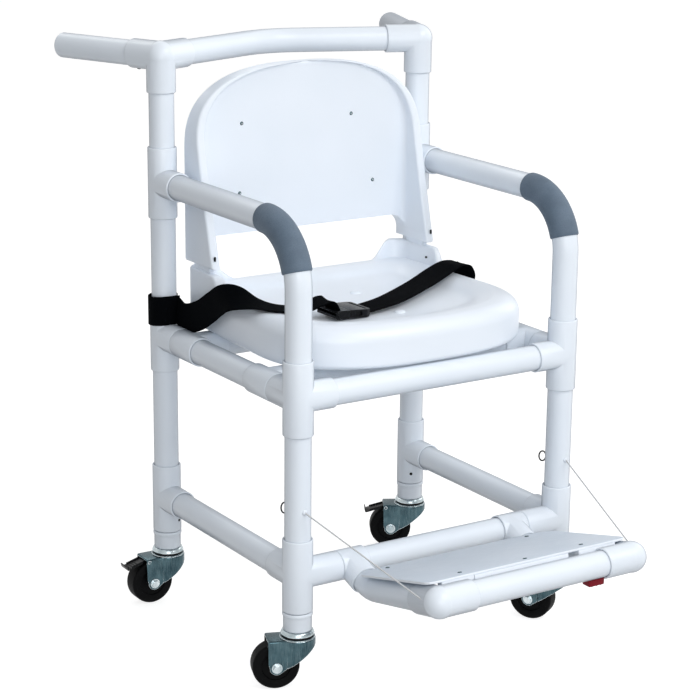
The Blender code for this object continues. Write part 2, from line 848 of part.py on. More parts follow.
def back_section(half, z, share, thin):
    """One level section of the backrest: a U with its wings towards the front."""
    rear = BACK_REAR_Y - thin
    front = BACK_FRONT_Y + thin
    tip = BACK_REAR_Y - wing_depth(share) + thin
    tip = min(tip, front - 0.001)
    rim = min(BACK_RIM, half * 0.5)
    soft = min(BACK_ROUND, rim * 0.4)
    right = [
        (0.0, rear),
        (half - 1.5 * soft, rear),
        (half - 0.4 * soft, rear - 0.4 * soft),
        (half, rear - 1.5 * soft),
        (half, min(tip + soft, rear - 2 * soft)),
        (half - 0.3 * soft, tip + 0.3 * soft),
        (half - soft, tip),
        (half - rim + soft, tip),
        (half - rim, min(tip + soft, front)),
        (half - rim - soft * 0.5, max(tip + soft, front - soft)),
        (half - rim - soft * 2, front),
        (0.0, front),
    ]
    left = [(-x, y) for x, y in reversed(right[1:-1])]
    return [(x, y, z) for x, y in right + left]


def back_sections(foot, wall):
    """Sections from the foot to the rounded top, or of the hollow inside them."""
    spring = BACK_TOP_Z - BACK_SHOULDER
    height = BACK_TOP_Z - foot
    half = BACK_HALF - wall
    sections = []
    for step in range(BACK_SIDE_STEPS):
        z = foot + (spring - foot) * step / BACK_SIDE_STEPS
        sections.append((half, z))
    for step in range(BACK_ARCH_STEPS + 1):
        angle = BACK_ARCH * step / BACK_ARCH_STEPS
        across, along = superellipse(angle, half, BACK_SHOULDER - wall, BACK_POWER)
        sections.append((across, spring + along))
    return sections, height


def backrest(chair):
    """Blow-moulded shell with wings that run down as legs, each with a tenon in the seat's ear."""
    sections, height = back_sections(BACK_FOOT_Z, 0.0)
    rings = []
    for half, z in sections:
        edge = max(0.0, 1 - (BACK_TOP_Z - z) / BACK_ROUND) if z > BACK_EDGE_Z else 0.0
        rings.append(back_section(half, z, (z - BACK_FOOT_Z) / height, edge * BACK_ROUND))
    body = add("backrest", lofted(rings), MOULDED, chair)
    notch_half = BACK_HALF - BACK_RIM
    arch = [(-notch_half, -height), (notch_half, -height)]
    for centre_x, start in ((notch_half - BACK_NOTCH_R, 0), (BACK_NOTCH_R - notch_half, pi / 2)):
        for step in range(BACK_NOTCH_STEPS + 1):
            angle = start + pi / 2 * step / BACK_NOTCH_STEPS
            arch.append((
                centre_x + BACK_NOTCH_R * cos(angle),
                BACK_EDGE_Z - BACK_NOTCH_R * (1 - sin(angle)),
            ))
    upright = Matrix.Rotation(pi / 2, 4, "X")
    cut(body, prism(arch, -BACK_REAR_Y - BACK_THICK, 0), "backrest_notch", upright)
    back_hollow(body)
    for side in (-1, 1):
        neck = box((TENON[0], TENON[1], TENON[2] + BACK_FOOT_GAP * 2))
        place = shift(side * tenon_x(), TENON_Y, tenon_z() + BACK_FOOT_GAP + CLEAR)
        join(body, neck, f"backrest_tenon_{side}", place)


def back_hollow(body):
    """The space between the panel's two skins, vented through its lower edge."""
    foot = BACK_EDGE_Z + 2 * BACK_WALL
    sections, _ = back_sections(foot, BACK_WALL + BACK_RIM)
    rear = BACK_REAR_Y - BACK_WALL
    front = BACK_FRONT_Y + BACK_WALL
    rings = []
    for half, z in sections:
        rings.append([(half, front, z), (half, rear, z), (-half, rear, z), (-half, front, z)])
    cut(body, lofted(rings), "backrest_hollow")
    vent = cylinder(BACK_VENT_R, -3 * BACK_WALL, 2 * BACK_WALL, SMALL_SIDES)
    cut(body, vent, "backrest_vent", shift(0, (rear + front) / 2, foot))


# Footrest, in the fold axis's own frame: forward is -Y, and the axis is the front base rail


def foot_points(side):
    """Pivot, bend and elbow corner of one footrest arm."""
    rise = FOOT_CORNER_Z - BASE_Z
    fall = tan(FOOT_DROP)
    climb = tan(FOOT_SLOPE)
    ahead = (climb * FOOT_REACH - rise) / (fall + climb)
    pivot = Vector((side * FOOT_PIVOT_X, 0, 0))
    bend = Vector((side * FOOT_PIVOT_X, -ahead, -fall * ahead))
    corner = Vector((side * FOOT_CORNER_X, -FOOT_REACH, rise))
    return pivot, bend, corner


def footrest_arm(side, mark, fold):
    """A slip tee that turns on the front base rail, with the bent pipe in its branch."""
    pivot, bend, corner = foot_points(side)
    half = FOOT_PIVOT_LENGTH / 2
    branch = (bend - pivot).normalized()
    back = (bend - corner).normalized()
    path = rounded([pivot, bend, corner + back * ELBOW_STOP], FOOT_BEND_R, FOOT_BEND_STEPS)
    name = f"footrest_arm_{mark}"
    body = add(name, swept(path, PIPE_R), PVC, fold)
    join(body, hub_mesh(half, half), f"{name}_slip", aim(RIGHTWARD, pivot))
    join(body, hub_mesh(0, FOOT_BRANCH), f"{name}_branch", aim(branch, pivot, pi / SIDES))
    core = swept([*path[:-1], path[-1] - back * PIPE_WALL], PIPE_BORE_R)
    bore = (turning_bore(half), aim(RIGHTWARD, pivot, pi / SIDES))
    cut_together(body, f"{name}_bores", [bore, (core, Matrix())])


def footrest_bar(fold):
    """The front bar with an elbow at each end, which takes the arm's pipe."""
    _, _, corner = foot_points(1)
    span = [Vector((-FOOT_CORNER_X, 0, 0)), Vector((FOOT_CORNER_X, 0, 0))]
    body = add("footrest_bar", swept(span, PIPE_R), PVC, fold, shift(0, corner.y, corner.z))
    for side in (-1, 1):
        _, bend, corner = foot_points(side)
        back = (bend - corner).normalized()
        end = (side * FOOT_CORNER_X, 0, 0)
        inward = (-side, 0, 0)
        tag = f"footrest_bar_{side}"
        join(body, hub_mesh(0, ELBOW_REACH), f"{tag}_inner", aim(inward, end))
        join(body, hub_mesh(0, ELBOW_REACH), f"{tag}_arm", aim(back, end, pi / SIDES))
        join(body, ball(HUB_R + BALL_SWELL), f"{tag}_ball", ball_aim(side, end))
    reach = FOOT_CORNER_X + BRANCH_ROOT
    bores = [(cylinder(PIPE_BORE_R, -reach, reach), aim(RIGHTWARD))]
    for side in (-1, 1):
        _, bend, corner = foot_points(side)
        back = (bend - corner).normalized()
        place = aim(back, (side * FOOT_CORNER_X, 0, 0), pi / SIDES)
        bores.append((branch_bore(ELBOW_REACH), place))
    cut_together(body, "footrest_bar_bores", bores)
    for side in (-1, 1):
        tag = f"footrest_bar_{side}"
        hole = cylinder(CORD_HOLE_R, -HUB_WALL * 6, HUB_WALL * 3, SMALL_SIDES)
        outer, behind, above = CORD_END
        place = (side * outer, behind, above)
        cut(body, hole, f"{tag}_cord_hole", aim(cord_foot_way(side), place))
    solve_closed(body)


def cord_foot_way(side):
    """Straight way of a cord where it comes in at its elbow."""
    return (cord_foot(side) - cord_head(side)).normalized()


def cord_head(side):
    """Where a cord leaves the front face of its post, in the chair's frame."""
    return Vector((side * POST_X, -POST_Y - PIPE_R - CORD_R, CORD_Z))


def cord_foot(side):
    """Where a cord ends in its elbow, in the chair's frame."""
    outer, behind, above = CORD_END
    return Vector((side * outer, behind - POST_Y - FOOT_REACH, above + FOOT_CORNER_Z))


def footrest_cord(side, mark, chair):
    """A thin cord through the front post and down to the elbow."""
    tail = Vector((side * POST_X, -POST_Y + PIPE_R + CORD_TAIL, CORD_Z))
    path = rounded([tail, cord_head(side), cord_foot(side)], CORD_R * 3, 3)
    add(f"footrest_cord_{mark}", swept(path, CORD_R, sides=8), CORD, chair)


def plate_outline():
    """The footplate's plan: large rounds at the back corners and small ones in front."""
    points = []
    corners = (
        (PLATE_BACK_ROUND, -PLATE_BACK, 0),
        (PLATE_BACK_ROUND, -PLATE_BACK, 1),
        (PLATE_FRONT_ROUND, -PLATE_FRONT, 2),
        (PLATE_FRONT_ROUND, -PLATE_FRONT, 3),
    )
    for radius, edge, quarter in corners:
        across = 1 if quarter in (0, 3) else -1
        inward = -1 if quarter < 2 else 1
        for step in range(PLATE_ROUND_STEPS + 1):
            angle = pi / 2 * (quarter + step / PLATE_ROUND_STEPS)
            points.append((
                across * (PLATE_HALF - radius) + radius * cos(angle),
                edge + inward * radius + radius * sin(angle),
            ))
    return points


def footrest_plate(fold):
    """The flat plate on the arms and the front bar, with a shim under its front edge."""
    _, _, corner = foot_points(1)
    lift = HUB_R + BALL_SWELL + CLEAR
    slope = Matrix.Rotation(-FOOT_SLOPE, 4, "X")
    hinge_height = corner.z - corner.y * -tan(FOOT_SLOPE)
    level = shift(0, 0, hinge_height) @ slope @ shift(0, 0, lift)
    body = add("footrest_plate", prism(plate_outline(), 0, PLATE_THICK), PLATE, fold, level)
    gap = lift - PIPE_R - SHIM_CLEAR
    length, width = SHIM_SIZE
    shim = box((length, width, gap + PLATE_THICK / 2))
    for side in (-1, 1):
        place = shift(side * SHIM_X, width / 2 - BAR_RUN, (PLATE_THICK / 2 - gap) / 2)
        join(body, shim, f"footrest_plate_shim_{side}", place)


def footrest_bumper(fold):
    """A small block under the front bar, hollowed to the bar's round."""
    _, _, corner = foot_points(1)
    length, width, height = BUMPER_SIZE
    x = FOOT_CORNER_X - ELBOW_REACH - CLEAR - length / 2
    drop = PIPE_R + height / 2 - BUMPER_SEAT
    place = shift(x, corner.y, corner.z - drop)
    body = add("footrest_bumper", box(BUMPER_SIZE, height / 8), RED, fold, place)
    cut(body, cylinder(BORE_R, -length, length), "footrest_bumper_seat", aim(RIGHTWARD, (0, 0, drop)))


# Lap belt


def catmull(points, steps):
    """A smooth curve through points of any dimension."""
    ends = [points[0] * 2 - points[1], *points, points[-1] * 2 - points[-2]]
    curve = []
    for a, b, c, d in zip(ends, ends[1:], ends[2:], ends[3:]):
        for step in range(steps):
            t = step / steps
            curve.append((
                b * 2 + (c - a) * t + (a * 2 - b * 5 + c * 4 - d) * t * t
                + (b * 3 - a - c * 3 + d) * t ** 3
            ) / 2)
    curve.append(points[-1])
    return curve


def ribbon(name, middles, edges, chair):
    """A flat strap: middle points, and for each the way from its lower edge to its upper one."""
    half = STRAP_WIDTH / 2
    lower = []
    upper = []
    for middle, edge in zip(middles, edges):
        way = edge.normalized() * half
        lower.append(middle - way)
        upper.append(middle + way)
    mesh = bpy.data.meshes.new(name)
    work = bmesh.new()
    rows = [(work.verts.new(a), work.verts.new(b)) for a, b in zip(lower, upper)]
    for (a, b), (c, d) in zip(rows, rows[1:]):
        work.faces.new((a, c, d, b))
    work.to_mesh(mesh)
    work.free()
    body = add(name, smooth(mesh), WEBBING, chair)
    web = body.modifiers.new("webbing", "SOLIDIFY")
    web.thickness = STRAP_THICK
    web.offset = 0
    web.use_even_offset = True


def post_wrap(side):
    """The strap's turn round its rear post, from the inner side round the back to the front."""
    radius = HUB_R + CLEAR + STRAP_THICK
    middles = []
    edges = []
    for step in range(WRAP_STEPS + 1):
        share = step / WRAP_STEPS
        angle = WRAP_START + WRAP_TURN * share
        lift = WRAP_LIFT * smoothstep((share - 0.5) * WRAP_CLIMB)
        x = side * (POST_X - radius * cos(angle))
        middles.append(Vector((x, POST_Y + radius * sin(angle), BELT_Z + lift)))
        edges.append(UP.copy())
    return middles, edges


def buckle_turn():
    """The buckle lies along the belt, with its tongue leaning up the seat's dish."""
    return Matrix.Rotation(BUCKLE_TURN, 4, "Z") @ Matrix.Rotation(BUCKLE_TILT, 4, "Y")


def buckle_place(along):
    """A point on the buckle's middle line, at a distance along it from the socket's middle."""
    height = SEAT_TOP_Z - SEAT_DISH + BUCKLE_LIFT + BUCKLE_THICK / 2
    return Vector((*BUCKLE_CENTRE, height)) + buckle_turn() @ Vector((along, 0, 0))


def straps(chair):
    """Both halves of the belt, from the posts to the buckle."""
    reach = SOCKET_LENGTH / 2
    for side, mark, route in ((-1, "left", LEFT_STRAP), (1, "right", RIGHT_STRAP[::-1])):
        middles, edges = post_wrap(side)
        across = Vector((-sin(BUCKLE_TURN), cos(BUCKLE_TURN), 0))
        face = -TONGUE_LENGTH - reach if side < 0 else reach
        mouth = buckle_place(face + side * STRAP_ENTRY)
        end = buckle_place(face - side * STRAP_ENTRY)
        way = [Vector(point) for point, _ in route]
        lean = [Vector(edge) for _, edge in route]
        smooth_way = catmull([middles[-1], *way, mouth], STRAP_STEPS)[1:]
        smooth_lean = catmull([edges[-1], *lean, across], STRAP_STEPS)[1:]
        ribbon(f"belt_{mark}", middles + smooth_way + [end], edges + smooth_lean + [across], chair)


def buckle(chair):
    """A side-release buckle: a socket with a cavity, and a tongue with three prongs."""
    place = Matrix.Translation(buckle_place(0)) @ buckle_turn()
    half = SOCKET_LENGTH / 2
    size = (SOCKET_LENGTH, BUCKLE_WIDTH, BUCKLE_THICK)
    socket = add("buckle_socket", box(size, BUCKLE_THICK / 5), BUCKLE, chair, place)
    mouth = box((PRONG_LENGTH * 2 + 4 * CLEAR, BUCKLE_WIDTH * PRONG_SPREAD, PRONG_THICK + 2 * CLEAR))
    cut(socket, mouth, "buckle_mouth", shift(-half, 0, 0))
    slot = box((SOCKET_LENGTH / 2, STRAP_WIDTH + 4 * CLEAR, SLOT_HEIGHT))
    cut(socket, slot, "buckle_slot", shift(half, 0, 0))
    base = Matrix.Translation(buckle_place(-half - TONGUE_LENGTH / 2 - CLEAR)) @ buckle_turn()
    size = (TONGUE_LENGTH, BUCKLE_WIDTH, BUCKLE_THICK)
    tongue = add("buckle_tongue", box(size, BUCKLE_THICK / 5), BUCKLE, chair, base)
    width = BUCKLE_WIDTH * PRONG_WIDTH
    reach = TONGUE_LENGTH / 2 + PRONG_LENGTH / 2 + CLEAR
    for across in (-1, 0, 1):
        prong = box((PRONG_LENGTH + TONGUE_LENGTH / 4, width, PRONG_THICK))
        place = shift(reach - TONGUE_LENGTH / 8, across * (BUCKLE_WIDTH * PRONG_SPREAD / 2 - width), 0)
        join(tongue, prong, f"buckle_prong_{across}", place)
    slot = box((TONGUE_LENGTH, STRAP_WIDTH + 4 * CLEAR, SLOT_HEIGHT))
    cut(tongue, slot, "buckle_tongue_slot", shift(-TONGUE_LENGTH * 0.7, 0, 0))


# Casters, in a frame with Z down the post's middle and +X where the wheel trails


def caster_stem(name, foot):
    """Expanding plug in the post, upper race and the king pin with its nut."""
    race_z = SLEEVE_FOOT_Z - CLEAR
    rim_z = FORK_TOP_Z + (race_z - FORK_TOP_Z) * 0.4
    nut_z = FORK_TOP_Z - FORK_SHEET - CLEAR
    plug_r = PIPE_BORE_R * cos(pi / SIDES) - CLEAR
    profile = [
        (0, POST_FOOT_Z + PLUG_LENGTH),
        (plug_r, POST_FOOT_Z + PLUG_LENGTH),
        (plug_r, race_z),
        (HUB_R, race_z),
        (RACE_R, (race_z + rim_z) / 2),
        (RACE_R, rim_z),
        (2 * KINGPIN_R, rim_z),
        (2 * KINGPIN_R, FORK_TOP_Z + CLEAR),
        (KINGPIN_R, FORK_TOP_Z + CLEAR),
        (KINGPIN_R, nut_z),
        (KING_NUT_R, nut_z),
        (KING_NUT_R, nut_z - KING_NUT),
        (0, nut_z - KING_NUT),
    ]
    add(f"caster_stem_{name}", turned(profile), ZINC, foot)


def fork_side():
    """Side outline of the fork (trail, height): crown, slanted front edge, round foot, square tail."""
    skirt_z = FORK_TOP_Z - CROWN_DEPTH
    points = [(-CROWN_R, FORK_TOP_Z), (-CROWN_R, skirt_z)]
    along = CROWN_R + TRAIL
    rise = skirt_z - WHEEL_R
    first = atan2(rise, -along) + acos(AXLE_BOSS_R / hypot(along, rise))
    for step in range(FORK_FOOT_STEPS + 1):
        angle = first + (tau - first) * step / FORK_FOOT_STEPS
        points.append((TRAIL + AXLE_BOSS_R * cos(angle), WHEEL_R + AXLE_BOSS_R * sin(angle)))
    points.append((FORK_TAIL, WHEEL_R + AXLE_BOSS_R))
    points.append((FORK_TAIL, FORK_TOP_Z))
    return points


def fork_plan(inset):
    """Top outline of the fork or of the space inside it: a round crown and an open square tail."""
    radius = CROWN_R - inset
    half = FORK_INNER / 2 + FORK_SHEET - inset
    first = asin(half / radius)
    tail = FORK_TAIL + 2 * inset
    points = [(tail, -half), (tail, half)]
    for step in range(CROWN_STEPS + 1):
        angle = first + (tau - 2 * first) * step / CROWN_STEPS
        points.append((radius * cos(angle), radius * sin(angle)))
    return points


def caster_fork(name, swivel, with_brake):
    """Pressed fork: a round crown and flat top, with side plates down to the axle."""
    low = WHEEL_R - AXLE_BOSS_R - FORK_SHEET
    lying = Matrix.Rotation(pi / 2, 4, "X")
    node = f"caster_fork_{name}"
    body = add(node, prism(fork_plan(0), low, FORK_TOP_Z), ZINC, swivel)
    keep = add_cutter(f"{node}_side", prism(fork_side(), -2 * CROWN_R, 2 * CROWN_R), body, lying)
    combine(body, keep, "INTERSECT")
    inside = prism(fork_plan(FORK_SHEET), low - FORK_SHEET, FORK_TOP_Z - FORK_SHEET)
    cut(body, inside, f"{node}_inside")
    over = FORK_INNER + 4 * FORK_SHEET
    hole = cylinder(KINGPIN_R + 2 * CLEAR, FORK_TOP_Z - 2 * FORK_SHEET, FORK_TOP_Z + FORK_SHEET)
    cut(body, hole, f"{node}_king_hole")
    across = aim(BEHIND, (TRAIL, 0, WHEEL_R))
    cut(body, cylinder(AXLE_R + 2 * CLEAR, -over, over, SMALL_SIDES), f"{node}_axle_hole", across)
    if with_brake:
        place = aim(BEHIND, (PEDAL_PIN_X, 0, FORK_TOP_Z - PEDAL_PIN_DROP))
        pin_hole = cylinder(PEDAL_PIN_R + 2 * CLEAR, -over, over, SMALL_SIDES)
        cut(body, pin_hole, f"{node}_pin_hole", place)


def caster_wheel(name, axle):
    half = WHEEL_WIDTH / 2
    hub = WHEEL_HUB_WIDTH / 2
    bore = (AXLE_R + CLEAR) / cos(pi / WHEEL_SIDES)
    upper = [
        (bore, hub),
        (2 * AXLE_HEAD_R, half),
        (WHEEL_R - WHEEL_ROUND, half),
        (WHEEL_R, half - WHEEL_ROUND),
    ]
    lower = [(radius, -height) for radius, height in reversed(upper)]
    profile = [*upper, *lower, upper[0]]
    add(f"caster_wheel_{name}", turned(profile, WHEEL_SIDES), TREAD, axle)


def caster_axle(name, axle):
    """The bolt through the fork and the wheel, with a head at one end and a nut at the other."""
    outer = FORK_INNER / 2 + FORK_SHEET + CLEAR
    end = outer + AXLE_HEAD
    upper = [(0, end), (AXLE_HEAD_R, end), (AXLE_HEAD_R, outer), (AXLE_R, outer)]
    lower = [(radius, -height) for radius, height in reversed(upper)]
    add(f"caster_axle_{name}", turned([*upper, *lower], SMALL_SIDES), ZINC, axle)


def brake_pedal(name, swivel):
    """A stepped lever on a cross pin under the fork's tail."""
    place = shift(PEDAL_PIN_X, 0, FORK_TOP_Z - PEDAL_PIN_DROP)
    half = FORK_INNER / 2 + FORK_SHEET / 2
    body = add(f"brake_pedal_{name}", cylinder(PEDAL_PIN_R, -half, half, SMALL_SIDES), BUCKLE,
               swivel, place @ aim(BEHIND))
    local = aim(BEHIND).inverted() @ Matrix.Rotation(PEDAL_SLOPE, 4, "Y")
    plate = box((PEDAL_LENGTH, PEDAL_WIDTH, PEDAL_THICK))
    join(body, plate, f"brake_pedal_{name}_plate", local @ shift(PEDAL_LENGTH / 2, 0, 0))
    lip = box((PEDAL_THICK, PEDAL_WIDTH + PEDAL_THICK, PEDAL_LIP))
    lip_place = shift(PEDAL_LENGTH, 0, PEDAL_LIP / 2 - PEDAL_THICK / 4)
    join(body, lip, f"brake_pedal_{name}_lip", local @ lip_place)


def caster(name, chair):
    side = 1 if name.endswith("right") else -1
    y = POST_Y if name.startswith("rear") else -POST_Y
    foot = add_empty(f"post_foot_{name}", chair, shift(side * POST_X, y, 0))
    caster_stem(name, foot)
    turn = Matrix.Rotation(CASTER_TURN[name], 4, "Z")
    swivel = add_empty(f"swivel_{name}", foot, turn)
    rear = name.startswith("rear")
    caster_fork(name, swivel, rear)
    axle = add_empty(f"axle_{name}", swivel, aim(BEHIND, (TRAIL, 0, WHEEL_R)))
    caster_wheel(name, axle)
    caster_axle(name, axle)
    if rear:
        brake_pedal(name, swivel)


# Whole chair


def build():
    chair = add_empty("chair", None, shift(0, MIDDLE_Y, 0))
    fold = add_empty("footrest_fold", chair, shift(0, -POST_Y, BASE_Z))
    for side, mark in ((-1, "left"), (1, "right")):
        post_tees(side, mark, chair)
        across, rearward = top_directions(side)
        corner = (side * POST_X, POST_Y, TOP_Z)
        fitting(f"corner_fitting_{mark}", corner, (DOWN, 0, TEE_REACH),
                [(across, TEE_REACH), (rearward, TEE_REACH)], chair, with_ball=True)
        push_handle(side, mark, chair)
        frame_pipes(side, mark, chair)
        armrest(side, mark, chair)
        footrest_arm(side, mark, fold)
        footrest_cord(side, mark, chair)
    cross_rails(chair)
    push_bar(chair)
    seat_support("seat_support_front", -SUPPORT_Y, chair)
    seat_support("seat_support_rear", SUPPORT_Y, chair)
    seat(chair)
    backrest(chair)
    footrest_bar(fold)
    footrest_plate(fold)
    footrest_bumper(fold)
    straps(chair)
    buckle(chair)
    for name in CASTER_TURN:
        caster(name, chair)


build()
bpy.context.view_layer.update()
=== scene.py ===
"""Looks of the transfer chair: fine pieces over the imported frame, materials, light, camera.

Metres, +Z up. The chair faces -Y, and its middle plane is x = 0.
"""

import json
from itertools import accumulate
from math import acos, asin, atan2, cos, hypot, pi, radians, sin, tan, tau

import bmesh
import bpy
from mathutils import Matrix, Vector

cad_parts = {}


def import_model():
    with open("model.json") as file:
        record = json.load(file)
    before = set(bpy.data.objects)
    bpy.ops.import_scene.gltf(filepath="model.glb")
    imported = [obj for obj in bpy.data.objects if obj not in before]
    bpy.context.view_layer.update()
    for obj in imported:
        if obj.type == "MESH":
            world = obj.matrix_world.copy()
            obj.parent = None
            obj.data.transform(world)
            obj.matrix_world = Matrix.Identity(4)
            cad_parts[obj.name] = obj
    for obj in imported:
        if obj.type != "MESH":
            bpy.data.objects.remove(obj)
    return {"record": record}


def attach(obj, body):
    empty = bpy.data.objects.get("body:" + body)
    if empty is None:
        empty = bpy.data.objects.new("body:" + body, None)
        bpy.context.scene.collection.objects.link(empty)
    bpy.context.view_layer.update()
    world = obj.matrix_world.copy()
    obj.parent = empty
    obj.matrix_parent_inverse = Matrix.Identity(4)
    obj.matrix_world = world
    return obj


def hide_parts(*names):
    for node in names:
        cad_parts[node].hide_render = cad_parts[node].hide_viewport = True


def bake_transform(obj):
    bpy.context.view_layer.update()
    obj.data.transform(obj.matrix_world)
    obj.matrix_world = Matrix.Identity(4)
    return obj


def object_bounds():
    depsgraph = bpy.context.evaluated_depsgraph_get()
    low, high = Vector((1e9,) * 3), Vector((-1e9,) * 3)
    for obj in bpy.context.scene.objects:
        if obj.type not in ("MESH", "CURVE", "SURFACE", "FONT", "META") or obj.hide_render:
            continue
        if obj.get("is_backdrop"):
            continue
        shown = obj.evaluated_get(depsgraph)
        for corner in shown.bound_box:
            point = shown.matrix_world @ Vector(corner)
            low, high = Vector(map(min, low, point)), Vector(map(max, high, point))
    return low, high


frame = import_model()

CAD_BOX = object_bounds()

# Sizes of the chair, as in its solids
CLEAR = 0.0003
FLAT = cos(pi / 12)
PIPE_R = 0.0211
HUB_WALL = 0.0022
TEE_REACH = 0.0595
SOCKET_STOP = PIPE_R + 0.0035
CORNER_STOP = PIPE_R + 0.0090
BORE_R = (PIPE_R + CLEAR) / FLAT
HUB_R = BORE_R + HUB_WALL
BALL_SWELL = 0.0008
POST_X = 0.2550
POST_Y = 0.2175
BASE_Z = 0.1860
SEAT_RAIL_Z = 0.4740
TOP_Z = 0.9460
ARM_Z = TOP_Z - 0.2090
SLEEVE_FOOT_Z = 0.0950
POST_FOOT_Z = SLEEVE_FOOT_Z + 0.0050
FRONT_BRANCH = 0.0724
ARM_BEND_R = 0.0950
GRIP_WALL = 0.0025
GRIP_LEAD = 0.0025
GRIP_END = 0.0030
TOP_TURN = radians(20.7)
HANDLE_REACH = 0.2230
HANDLE_ROUND = 0.0050
HANDLE_SINK = 0.0120
BAR_SINK = 0.0100
BAR_BEND_R = 0.1450
SUPPORT_Y = 0.1225
SLIP_LENGTH = 0.0700

FOOT_PIVOT_X = 0.1575
FOOT_PIVOT_LENGTH = 0.0495
FOOT_BRANCH = 0.0480
FOOT_BORE = PIPE_R + 0.0006
FOOT_ARM_START = 0.0240
FOOT_DROP = radians(18.0)
FOOT_BEND_R = 0.0600
FOOT_CORNER_X = 0.1820
FOOT_REACH = 0.2815
FOOT_CORNER_Z = 0.2210
FOOT_SLOPE = radians(14.5)
ELBOW_REACH = 0.0575
ELBOW_STOP = PIPE_R + 0.0090
PLATE_THICK = 0.0040
PLATE_HALF = 0.1900
PLATE_BACK = 0.0680
PLATE_FRONT = FOOT_REACH / cos(FOOT_SLOPE) - 0.0128
PLATE_EDGE = 0.0009
PLATE_BACK_ROUND = 0.0350
PLATE_FRONT_ROUND = 0.0150
SHIM_SPANS = ((-0.1650, -0.1062, 0.0), (-0.1060, 0.0710, 0.0020), (0.0930, 0.1650, 0.0))
SHIM_WIDTH = 0.0120
SHIM_DEPTH = 0.0085
PLATE_SCREWS = ((-0.1363, 0.0860), (0.1363, 0.0860), (-0.1159, 0.2550), (0.1159, 0.2550),
                (0.0, 0.2640))
BUMPER_SIZE = (0.0300, 0.0180, 0.0120)
BUMPER_SEAT = 0.0020
CORD_R = 0.0012
CORD_Z = 0.2940
CORD_TAIL = 0.0080
CORD_END = (0.2020, 0.0140, 0.0020)
KNOT_R = 0.0026
BUSH_R = 0.0044
EYE_WIRE = 0.0013

SEAT_HALF = 0.2350
SEAT_REAR_HALF = 0.2225
SEAT_MID_Y = -0.0600
SEAT_FRONT = 0.1650
SEAT_FRONT_POWER = 2.6
SEAT_REAR_Y = 0.2075
SEAT_CORNER_R = 0.0300
SEAT_HEIGHT = 0.0680
SEAT_ROUND = 0.0260
SEAT_DISH = 0.0130
EAR_RISE = 0.0300
EAR_WIDTH = 0.0175
EAR_FRONT_Y = 0.1050
EAR_FLOW = 0.0350
EAR_PLUG = (0.2030, 0.1060, 0.5790)
SEAT_STUDS = ((0.0130, 0.0370), (0.0030, -0.1100))
STUD_PROFILE = ((0.0, 0.0036), (0.0030, 0.0035), (0.0060, 0.0029), (0.0083, 0.0017),
                (0.0094, 0.0003), (0.0096, -0.0010), (0.0, -0.0010))
SEAT_UNDERSIDE = 0.0600
SEAT_Z = SEAT_RAIL_Z + HUB_R * FLAT + CLEAR
SEAT_TOP_Z = SEAT_Z + SEAT_HEIGHT
SEAT_INNER = SEAT_REAR_HALF - SEAT_CORNER_R
SEAT_MIDDLE_Y = (SEAT_REAR_Y + SEAT_MID_Y - SEAT_FRONT) / 2
SEAT_HALF_Y = (SEAT_REAR_Y - SEAT_MID_Y + SEAT_FRONT) / 2
EAR_TOP_Z = SEAT_TOP_Z + EAR_RISE

BACK_HALF = 0.2225
BACK_REAR_Y = 0.2050
BACK_THICK = 0.0250
BACK_TOP_Z = 0.9260
BACK_SHOULDER = 0.1360
BACK_POWER = 2.6
BACK_EDGE_Z = 0.6440
BACK_FOOT_Z = EAR_TOP_Z + 0.0080
BACK_FRONT_Y = BACK_REAR_Y - BACK_THICK
BACK_RIM = 0.0165
BACK_ROUND = 0.0040
BACK_NOTCH_R = 0.0280
WING_FOOT_DEPTH = 0.0970
WING_TOP_DEPTH = 0.0290
WING_POWER = 1.25
LEG_SLOT_HALF = (0.0018, 0.0040, 0.0016)
LEG_SLOT_Z = 0.6220
SCREW_R = 0.0036
BACK_SCREW_R = 0.0032
POST_SCREW_R = 0.0028
POST_SCREW_Z = BASE_Z - 0.0400
BACK_SCREWS = ((-0.1246, 0.8300), (0.0922, 0.8304), (-0.1290, 0.7124), (0.1380, 0.7107))
TENON = (0.0085, 0.0520, 0.0250)
TENON_X = SEAT_REAR_HALF - EAR_WIDTH / 2
TENON_Y = 0.1515

STRAP_WIDTH = 0.0500
STRAP_THICK = 0.0018
SELVEDGE = 0.965
STRAP_ENTRY = 0.0040
WRAP_START = radians(5)
WRAP_TURN = radians(290)
WRAP_LIFT = 0.0035
BELT_Z = SEAT_Z + STRAP_WIDTH / 2 - WRAP_LIFT
BUCKLE_CENTRE = (-0.0765, -0.0860)
BUCKLE_TURN = radians(3.0)
BUCKLE_WIDTH = 0.0600
BUCKLE_THICK = 0.0130
BUCKLE_TILT = radians(4.0)
BUCKLE_LIFT = 0.0023
BUCKLE_EDGE = 0.0011
BUCKLE_SLOT = (STRAP_WIDTH + 0.0012, STRAP_THICK * 2)
BUCKLE_NOTCH = (0.0130, 0.0110, 0.0070)
SOCKET_LENGTH = 0.0400
TONGUE_LENGTH = 0.0260
PRONG_LENGTH = 0.0240
PRONG_THICK = 0.0050
LEFT_STRAP = (
    ((-0.2435, 0.1620, 0.5150), (0.0, 0.26, 0.97)),
    ((-0.2430, 0.1170, 0.5290), (0.0, 0.47, 0.88)),
    ((-0.2430, 0.0760, 0.5520), (0.0, 0.47, 0.88)),
    ((-0.2440, 0.0400, 0.5720), (0.12, 0.46, 0.87)),
    ((-0.2360, 0.0080, 0.5790), (0.50, 0.62, 0.60)),
    ((-0.2120, -0.0200, 0.5730), (0.45, 0.88, 0.12)),
    ((-0.1840, -0.0440, 0.5680), (0.38, 0.92, 0.0)),
    ((-0.1560, -0.0640, 0.5690), (0.32, 0.94, 0.0)),
    ((-0.1330, -0.0800, 0.5810), (0.15, 0.98, 0.0)),
    ((-0.1200, -0.0860, 0.5825), (0.05, 0.99, 0.0)),
)
